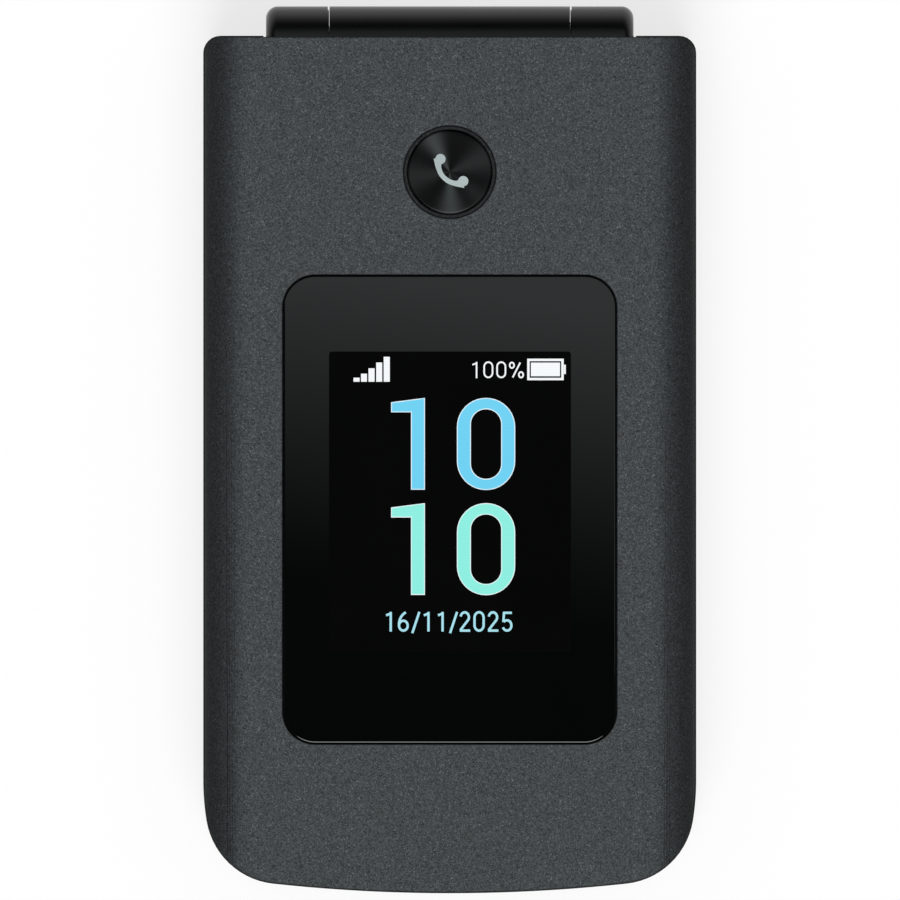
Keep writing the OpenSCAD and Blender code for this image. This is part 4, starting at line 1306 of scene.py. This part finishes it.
@dataclass
class OuterDisplay:
    """Gloss window in the lid and the lit figures of the display behind it.

    The places of the figures are those of the front view, whose scale is 8.6 to the millimetre.
    """

    levels: Levels
    centre: Point = (0.0, -6.95)
    width: float = 38.7
    length: float = 54.4
    corner: float = 3.7
    edge: float = 0.22
    skin: float = 0.006
    scale: float = 8.6
    middle: Point = (449.75, 5.5)
    far_end: float = 51.65
    lit_area: tuple[float, ...] = (329, 351.5, 571, 652, 0.35)
    bars: tuple[tuple[float, ...], ...] = ((353.5, 377.7, 359.6), (361, 373.7, 367), (368.5, 368.3, 374.6),
                                           (376.2, 362.5, 382.2), (383.7, 356.8, 389.8))
    bars_low: float = 381.7
    charge_case: tuple[float, ...] = (527.2, 358.7, 563.7, 380.2)
    charge_hole: tuple[float, ...] = (529.6, 361.1, 561.3, 377.8)
    charge_tip: tuple[float, ...] = (563.9, 364.7, 565.8, 374)
    charge_level: tuple[float, ...] = (530.9, 362.6, 560.0, 376.2)
    hours_top: float = 398.8
    minutes_top: float = 504.0
    figure_edge: float = 0.9

    def at(self, x: float, y: float) -> Point:
        """Place on the lid of a place in the front view."""
        return (x - self.middle[0]) / self.scale, self.far_end - (y - self.middle[1]) / self.scale

    def box(self, x0: float, y0: float, x1: float, y1: float, radius: float = 0.0) -> list[Point]:
        """Outline of a rectangle of the front view.

        Args:
            x0: Left side.
            y0: Top.
            x1: Right side.
            y1: Bottom.
            radius: Radius of its corners in millimetres.

        Returns:
            The outline on the lid.
        """
        left, top = self.at(x0, y0)
        right, low = self.at(x1, y1)
        if radius:
            return rounded(((left + right) / 2, (top + low) / 2), right - left, top - low, radius, 10)
        return [(left, low), (right, low), (right, top), (left, top)]

    def build_window(self) -> None:
        """Builds the window as a sheet with softly rounded edges."""
        low, top, soft = self.levels.window_low, self.levels.window_top, self.edge
        rings = [level(rounded(self.centre, self.width, self.length, self.corner, 16), z)
                 for z in (low, top - soft)]
        for i in range(1, 7):
            a = math.radians(90 * i / 6)
            inset = soft * (1 - math.cos(a))
            rings.append(level(rounded(self.centre, self.width - 2 * inset, self.length - 2 * inset,
                                       self.corner - inset, 16), top - soft + soft * math.sin(a)))
        verts, faces = loft(rings)
        piece = make("window", verts, faces, "lid", Slot.outer_window.value, 50)
        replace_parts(piece, "outer_window")

    def build_figures(self) -> None:
        """Builds the lit area and its figures: time, date, charge and signal."""
        z = self.levels.window_top
        printed("display_field", [self.box(*self.lit_area)], z, self.skin / 2, "lid",
                DarkField("display_field"))
        z += self.skin / 2
        white = LitPrint("lit_white", linear(250, 252, 253), linear(238, 242, 245))
        bars = [self.box(x0, top, x1, self.bars_low) for x0, top, x1 in self.bars]
        for name, shapes, holes in (
                ("signal_bars", bars, []),
                ("charge_case", [self.box(*self.charge_case)], [self.box(*self.charge_hole)]),
                ("charge_tip", [self.box(*self.charge_tip)], []),
                ("charge_level", [self.box(*self.charge_level)], [])):
            printed(name, shapes, z, self.skin, "lid", white, holes=holes)
        figures("charge_share", "100%", self.at(497.8, 370), 16.7 / self.scale, z, "lid", white,
                self.skin, 52.4 / self.scale, 0.095)
        hours = LitPrint("lit_hours", linear(115, 212, 243), linear(104, 204, 240))
        minutes = LitPrint("lit_minutes", linear(148, 241, 226), linear(136, 236, 222))
        self.pair("hours", self.hours_top, hours, z)
        self.pair("minutes", self.minutes_top, minutes, z)
        figures("date", "16/11/2025", self.at(449, 621.7), 20.2 / self.scale, z, "lid",
                LitPrint("lit_date", linear(176, 228, 238), linear(160, 220, 236)), self.skin,
                128 / self.scale, 0.115)

    def pair(self, name: str, top: float, finish: Finish, z: float) -> None:
        """Builds a one and a nought side by side.

        Args:
            name: Name of the pair.
            top: Top of the pair in the front view.
            finish: Their light.
            z: Height of their lower face.
        """
        pale = LitPrint(finish.name + "_edge", tuple(0.45 * c + 0.55 for c in finish.colour), (0.9, 0.95, 1.0))
        for layer, (edge, light) in enumerate(((self.figure_edge, pale), (0.0, finish))):
            one = [self.at(x, top + y) for x, y in (
                (424.0 + edge, -edge), (424.0 + edge, 90.0 + edge), (411.9 - edge, 90.0 + edge),
                (411.9 - edge, 12.6 + edge), (392.0 - edge, 12.6 + edge), (392.0 - edge, 4.3 - edge))]
            outer = self.box(457.8 - edge, top - edge, 514.3 + edge, top + 90.3 + edge,
                             (28.0 + edge) / self.scale)
            inner = self.box(470.0 + edge, top + 9.6 + edge, 502.1 - edge, top + 80.9 - edge,
                             (15.8 - edge) / self.scale)
            height = z + layer * self.skin
            part = name + ("_edge", "")[layer]
            printed(part + "_one", [one], height, self.skin, "lid", light)
            printed(part + "_nought", [outer], height, self.skin, "lid", light, holes=[inner])

    def build(self) -> None:
        """Builds the window and what shows in it."""
        self.build_window()
        self.build_figures()


@dataclass
class CallButton:
    """Round button on the lid: turned black disc, its ring and a printed handset."""

    levels: Levels
    radius: float = 4.875
    flange_t: float = 0.6
    dish: float = 0.09
    stem_low: float = 15.8
    stem_r: float = 1.4
    ring_gap: float = 0.06
    ring_w: float = 0.44
    ring_low: float = 16.9
    ring_lip: float = 0.8
    ring_edge: float = 0.14
    print_colour: Colour = linear(158, 171, 171)

    def build(self) -> None:
        """Builds the disc, the ring and the handset."""
        low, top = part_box("call_button")[0].z / MM, self.levels.lid_top
        flange = self.radius + self.ring_w
        profile = [(0.01, low), (flange, low), (flange, low + self.flange_t),
                   (self.radius, low + self.flange_t), (self.radius, top - 0.24),
                   (self.radius - 0.05, top - 0.12), (self.radius - 0.14, top - 0.05),
                   (self.radius - 0.26, top - 0.03)]
        profile += [(r, top - 0.03 - self.dish * (1 - (r / self.radius) ** 2))
                    for r in (4.2, 3.4, 2.6, 1.8, 1.0, 0.01)]
        verts, faces = turned(BUTTON, profile, 128)
        disc = make("button_disc", verts, faces, "call_button", Slot.button_black.value, 30)
        verts, faces = turned(BUTTON, [(0.01, self.stem_low), (self.stem_r - 0.1, self.stem_low),
                                       (self.stem_r, self.stem_low + 0.1), (self.stem_r, low + 0.1),
                                       (0.01, low + 0.1)], 32)
        stem = make("button_stem", verts, faces, "call_button", Slot.button_black.value)
        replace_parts(disc, "call_button")
        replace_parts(stem, "call_button")
        self.build_ring()
        self.build_mark()

    def build_ring(self) -> None:
        """Builds the ring with its lip under the cover and its two rounded edges."""
        inner = self.radius + self.ring_gap
        outer = self.radius + self.ring_gap + self.ring_w
        low, high, soft = self.ring_low, self.levels.ring_top, self.ring_edge
        round_over = [(outer - soft + soft * math.cos(a), high - soft + soft * math.sin(a))
                      for a in (math.radians(15 * k) for k in range(7))]
        round_in = [(inner + soft - soft * math.cos(a), high - soft + soft * math.sin(a))
                    for a in (math.radians(90 - 15 * k) for k in range(7))]
        lip = outer + self.ring_lip
        section = [(inner, low), (lip, low), (lip, low + self.flange_t), (outer, low + self.flange_t)]
        verts, faces = turned(BUTTON, section + round_over + round_in, 128, True)
        ring = make("button_ring", verts, faces, "lid", Slot.ring_metal.value, 40)
        weld(ring)
        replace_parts(ring, "call_button_ring")

    def build_mark(self) -> None:
        """Builds the printed handset: two cups joined by a bent grip."""
        x, y = BUTTON[0] - 0.5, BUTTON[1] - 0.55
        path = [(x + px, y + py) for px, py in arc((1.5, 1.55), 2.35, 168, 284, 26)]
        z = self.levels.lid_top - 0.085
        finish = MouldedPlastic("button_print", self.print_colour, 0.45, 0.3, 0.002)
        ribbons("button_mark", [path], lambda share: 0.56 + 0.62 * abs(2 * share - 1) ** 4, z, 0.055,
                "call_button", finish)
        cups = [arc((path[k][0] + ox, path[k][1] + oy), 0.6, 0, 360, 28)[:-1]
                for k, ox, oy in ((0, 0.22, 0.02), (-1, 0.0, 0.22))]
        printed("button_mark_cups", cups, z + 0.001, 0.055, "call_button", finish)


def weld(piece: bpy.types.Object) -> None:
    """Joins the points of a piece that lie on each other.

    Args:
        piece: The piece.
    """
    work = bmesh.new()
    work.from_mesh(piece.data)
    bmesh.ops.remove_doubles(work, verts=work.verts, dist=1e-7)
    work.to_mesh(piece.data)
    work.free()
    piece.data.shade_smooth()
    piece.data.set_sharp_from_angle(angle=math.radians(40))


@dataclass
class KeyCap:
    """A key with a dished top, rounded edges and the flange that holds it in."""

    node: str
    mark: str
    levels: Levels
    dish: float = 0.07
    soft: float = 0.28
    flange: float = 0.6
    flange_t: float = 0.45
    corner: float = 1.8
    mark_t: float = 0.012
    figure_tall: tuple[float, float, float] = (4.2, 2.6, 3.4)
    red: Colour = linear(196, 42, 38)
    green: Colour = linear(58, 172, 76)

    def build(self) -> None:
        """Builds the cap and prints its mark."""
        low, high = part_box(self.node)
        centre = ((low.x + high.x) / 2 / MM, (low.y + high.y) / 2 / MM)
        width, length = (high.x - low.x) / MM - 2 * self.flange, (high.y - low.y) / MM - 2 * self.flange
        top, base = self.levels.key_top, self.levels.flange_low
        rings = [level(rounded(centre, width + 2 * self.flange, length + 2 * self.flange, self.corner + 0.2), z)
                 for z in (base, base + self.flange_t)]
        rings.append(level(rounded(centre, width, length, self.corner), base + self.flange_t))
        for i in range(7):
            a = math.radians(15 * i)
            inset = self.soft * (1 - math.cos(a))
            rings.append(level(rounded(centre, width - 2 * inset, length - 2 * inset, self.corner - inset),
                               top - self.soft + self.soft * math.sin(a)))
        for i in range(1, 8):
            inset = self.soft + (min(width, length) / 2 - self.soft - 0.25) * i / 7
            depth = self.dish * (1 - (1 - i / 7) ** 2)
            corner = max(self.corner - inset, 0.05)
            rings.append(level(rounded(centre, width - 2 * inset, length - 2 * inset, corner), top - depth))
        verts, faces = loft(rings)
        cap = make(self.node + "_cap", verts, faces, self.node, Slot.key_plastic.value, 40)
        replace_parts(cap, self.node)
        self.print_mark(centre, top - 0.035)

    def print_mark(self, centre: Point, z: float) -> None:
        """Prints the key's figure or sign on its top.

        Args:
            centre: Middle of the key.
            z: Height of the print's lower face.
        """
        name, thick = self.node + "_mark", self.mark_t
        if len(self.mark) == 1:
            digit, star, hatch = self.figure_tall
            tall = {"*": star, "#": hatch}.get(self.mark, digit)
            figures(name, self.mark, centre, tall, z, self.node, KEY_PRINT, thick, None, 0.12)
        elif self.mark == "soft":
            printed(name, [rounded(centre, 4.4, 0.7, 0.34)], z, thick, self.node, KEY_PRINT)
        elif self.mark in ("call", "end"):
            lifted = self.mark == "call"
            start, sweep, shift = (200, 110, 0) if lifted else (45, 90, -1.1)
            path = [(centre[0] + px, centre[1] + py)
                    for px, py in arc((0, shift), 2.1, start, start + sweep, 20)]
            finish = MouldedPlastic(self.mark + "_print", self.green if lifted else self.red, 0.4, 0.3, 0.002)
            grip = stroke(path, lambda share: 0.55 + 0.75 * abs(2 * share - 1) ** 3)
            printed(name, [grip], z, thick, self.node, finish)


@dataclass
class Navigation:
    """Silver ring round the middle key, both turned."""

    ring_r: float = 9.5
    ring_step: float = 6.8
    hub_r: float = 4.9
    ok_r: float = 4.0
    ok_flange: float = 1.2
    pointer_r: float = 7.1
    dot_r: float = 0.75

    def build(self) -> None:
        """Builds the ring with four pointers, and the key inside it."""
        low, top = (corner.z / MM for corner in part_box("navigation_ring"))
        outer, inner = self.ring_r, self.hub_r
        crown = [(outer, top - 0.4), (outer - 0.06, top - 0.2), (outer - 0.25, top - 0.08),
                 (outer - 0.7, top - 0.01), (outer - 1.6, top), (inner + 1.6, top - 0.04),
                 (inner + 0.6, top - 0.08), (inner + 0.15, top - 0.15), (inner, top - 0.35)]
        section = [(inner, low + 1.08), (self.ring_step, low + 1.08), (self.ring_step, low), (outer + 0.6, low),
                   (outer + 0.6, low + 0.28), (outer, low + 0.28)] + crown
        verts, faces = turned(NAVIGATION, section, 96, True)
        ring = make("ring_cap", verts, faces, "navigation_ring", Slot.ring_silver.value, 35)
        weld(ring)
        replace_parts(ring, "navigation_ring")
        finish = MouldedPlastic("ring_print", linear(28, 29, 31), 0.4, 0.3, 0.002)
        arrows = []
        for k in range(4):
            a = math.pi / 2 * k
            ux, uy = math.cos(a), math.sin(a)
            cx, cy = NAVIGATION[0] + self.pointer_r * ux, NAVIGATION[1] + self.pointer_r * uy
            arrows.append([(cx + 0.55 * ux, cy + 0.55 * uy),
                           (cx - 0.25 * ux - 0.75 * uy, cy - 0.25 * uy + 0.75 * ux),
                           (cx - 0.25 * ux + 0.75 * uy, cy - 0.25 * uy - 0.75 * ux)])
        printed("ring_pointers", arrows, top - 0.015, 0.02, "navigation_ring", finish)
        self.build_middle(*(corner.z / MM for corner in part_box("ok_key")))

    def build_middle(self, low: float, top: float) -> None:
        """Builds the domed middle key with its printed dot.

        Args:
            low: Height of its lower face.
            top: Height of its crown.
        """
        r, flange = self.ok_r, self.ok_r + self.ok_flange
        profile = [(0.01, low), (flange, low), (flange, low + 0.3), (r, low + 0.3), (r, top - 0.4),
                   (r - 0.04, top - 0.27), (r - 0.14, top - 0.18), (r - 0.3, top - 0.13)]
        profile += [(far, top - 0.11 * (far / 3.6) ** 2) for far in (3.4, 2.8, 2.2, 1.6, 1.0, 0.5, 0.01)]
        verts, faces = turned(NAVIGATION, profile)
        cap = make("ok_cap", verts, faces, "ok_key", Slot.key_plastic.value, 35)
        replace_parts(cap, "ok_key")
        dot = arc(NAVIGATION, self.dot_r, 0, 360, 32)[:-1]
        printed("ok_mark", [dot], top - 0.013, 0.012, "ok_key", KEY_PRINT)


@dataclass
class Frame:
    """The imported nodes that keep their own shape."""

    nodes: dict[str, bpy.types.Object]

    def dress(self) -> None:
        """Gives each node the finish of its slot."""
        for name, node in sorted(self.nodes.items()):
            slot = node.material_slots[0].material.name.split(".")[0]
            for held in node.material_slots:
                held.material = Slot[slot].value.material()
            LOG.info("%s: finish %s", name, slot)


def seen_directly(sheet: NodeSheet) -> Wire:
    """Tells what the camera sees, straight or in gloss or glass, from the light on matt surfaces.

    Args:
        sheet: The node sheet of the floor or the world.

    Returns:
        1 for what is seen, and 0 for the light.
    """
    path = sheet.add("ShaderNodeLightPath")
    seen = sheet.math("MAXIMUM", sheet.wire(path, "Is Camera Ray"), sheet.wire(path, "Is Glossy Ray"))
    return sheet.math("MAXIMUM", seen, sheet.wire(path, "Is Transmission Ray"))


@dataclass
class Studio:
    """Pale floor, soft light from above and a camera straight over the lid."""

    levels: Levels
    lens: float = 1500
    sensor: float = 36
    view: float = 900 / 8.6
    aim: Point = (0.03, -0.035)
    floor_half: float = 9
    floor_drop: float = 5e-5
    floor_grey: Colour = (0.24, 0.24, 0.24)
    floor_glow: float = 0.74
    lamp_strength: float = 2.6
    lamp_angle: float = 42
    lamp_tilt: float = 36
    horizon_glow: float = 0.8
    sky_glow: float = 0.8
    card_box: tuple[float, float, float, float] = (-0.5, -0.03, 0.5, 0.6)
    card_height: float = 0.6
    card_glow: float = 0.67

    def build(self) -> None:
        """Places camera, floor and lights."""
        scene = bpy.context.scene
        scene.view_settings.view_transform = "Standard"
        data = bpy.data.cameras.new("camera")
        data.lens, data.sensor_width, data.clip_end = self.lens, self.sensor, 60
        camera = bpy.data.objects.new("camera", data)
        far = self.view * self.lens / self.sensor
        camera.location = (self.aim[0] * MM, self.aim[1] * MM, (far + self.levels.lid_top) * MM)
        scene.collection.objects.link(camera)
        scene.camera = camera
        self.build_floor()
        self.build_lights()

    def build_floor(self) -> None:
        """Lays a large pale floor just under the phone."""
        mesh = bpy.data.meshes.new("floor")
        half, low = self.floor_half, -self.floor_drop
        mesh.from_pydata([(-half, -half, low), (half, -half, low), (half, half, low), (-half, half, low)], [],
                         [(0, 1, 2, 3)])
        floor = bpy.data.objects.new("floor", mesh)
        bpy.context.scene.collection.objects.link(floor)
        material = bpy.data.materials.new("floor")
        material.use_nodes = True
        sheet = NodeSheet(material.node_tree)
        shown = sheet.mix(seen_directly(sheet), (0, 0, 0), (1, 1, 1))
        shader = sheet.add("ShaderNodeBsdfPrincipled", None, {
            "Base Color": (*self.floor_grey, 1), "Roughness": 0.85, "Specular IOR Level": 0.1,
            "Emission Color": shown, "Emission Strength": self.floor_glow})
        sheet.add("ShaderNodeOutputMaterial", None, {"Surface": sheet.wire(shader)})
        mesh.materials.append(material)

    def build_lights(self) -> None:
        """Hangs a broad soft lamp towards the free end, a card, and a room with a pale horizon."""
        lamp = bpy.data.lights.new("soft_lamp", "SUN")
        lamp.energy, lamp.angle = self.lamp_strength, math.radians(self.lamp_angle)
        holder = bpy.data.objects.new("soft_lamp", lamp)
        holder.rotation_euler = (math.radians(self.lamp_tilt), 0, 0)
        bpy.context.scene.collection.objects.link(holder)
        world = bpy.data.worlds.new("room")
        bpy.context.scene.world = world
        world.use_nodes = True
        sheet = NodeSheet(world.node_tree)
        direction = sheet.wire(sheet.add("ShaderNodeTexCoord"), "Generated")
        up = sheet.math("MAXIMUM", sheet.axes(direction)[2], 0.0)
        horizon = self.horizon_glow * sheet.math("MAXIMUM", 1 - up / 0.62, 0.0) ** 1.3
        seen = seen_directly(sheet)
        glow = horizon * seen + self.sky_glow * up * up * (1 - seen)
        background = sheet.add("ShaderNodeBackground", None, {"Color": (1, 1, 1, 1), "Strength": glow})
        sheet.add("ShaderNodeOutputWorld", None, {"Surface": sheet.wire(background)})
        self.build_card()

    def build_card(self) -> None:
        """Hangs the card whose soft edge shows in the gloss of the window."""
        x0, y0, x1, y1 = self.card_box
        z = self.card_height
        mesh = bpy.data.meshes.new("card")
        mesh.from_pydata([(x0, y0, z), (x1, y0, z), (x1, y1, z), (x0, y1, z)], [], [(0, 1, 2, 3)])
        card = bpy.data.objects.new("card", mesh)
        bpy.context.scene.collection.objects.link(card)
        material = bpy.data.materials.new("card")
        material.use_nodes = True
        sheet = NodeSheet(material.node_tree)
        x, y, _ = sheet.axes(sheet.place())
        rise = sheet.math("MAXIMUM", (y + 0.15 * x + 0.0233) / 0.0422, 0.0)
        fall = sheet.math("MAXIMUM", 1 - sheet.math("MAXIMUM", y - 0.04, 0.0) / 0.5, 0.0)
        light = self.card_glow * sheet.math("MINIMUM", rise ** 1.75, 1.1) * fall
        glow = sheet.add("ShaderNodeEmission", None, {"Color": (0.93, 1, 1, 1), "Strength": light})
        sheet.add("ShaderNodeOutputMaterial", None, {"Surface": sheet.wire(glow)})
        mesh.materials.append(material)
        card.visible_camera = False
        card.visible_diffuse = False
        card.visible_shadow = False


KEY_MARKS = {**{f"key_{digit}": str(digit) for digit in range(1, 10)}, "key_star": "*", "key_0": "0",
             "key_hash": "#", "soft_key_left": "soft", "soft_key_right": "soft", "call_key": "call",
             "end_key": "end"}


def main() -> None:
    """Loads the frame, dresses it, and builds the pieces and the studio."""
    logging.basicConfig(level=logging.INFO, format="%(name)s: %(message)s")
    for left_over in list(bpy.data.objects):
        bpy.data.objects.remove(left_over)
    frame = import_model()
    levels = Levels.read()
    Studio(levels).build()
    Frame(frame["nodes"]).dress()
    Lid(levels, Outline()).build()
    OuterDisplay(levels).build()
    CallButton(levels).build()
    for node, mark in KEY_MARKS.items():
        KeyCap(node, mark, levels).build()
    Navigation().build()


if __name__ == "__main__":
    main()
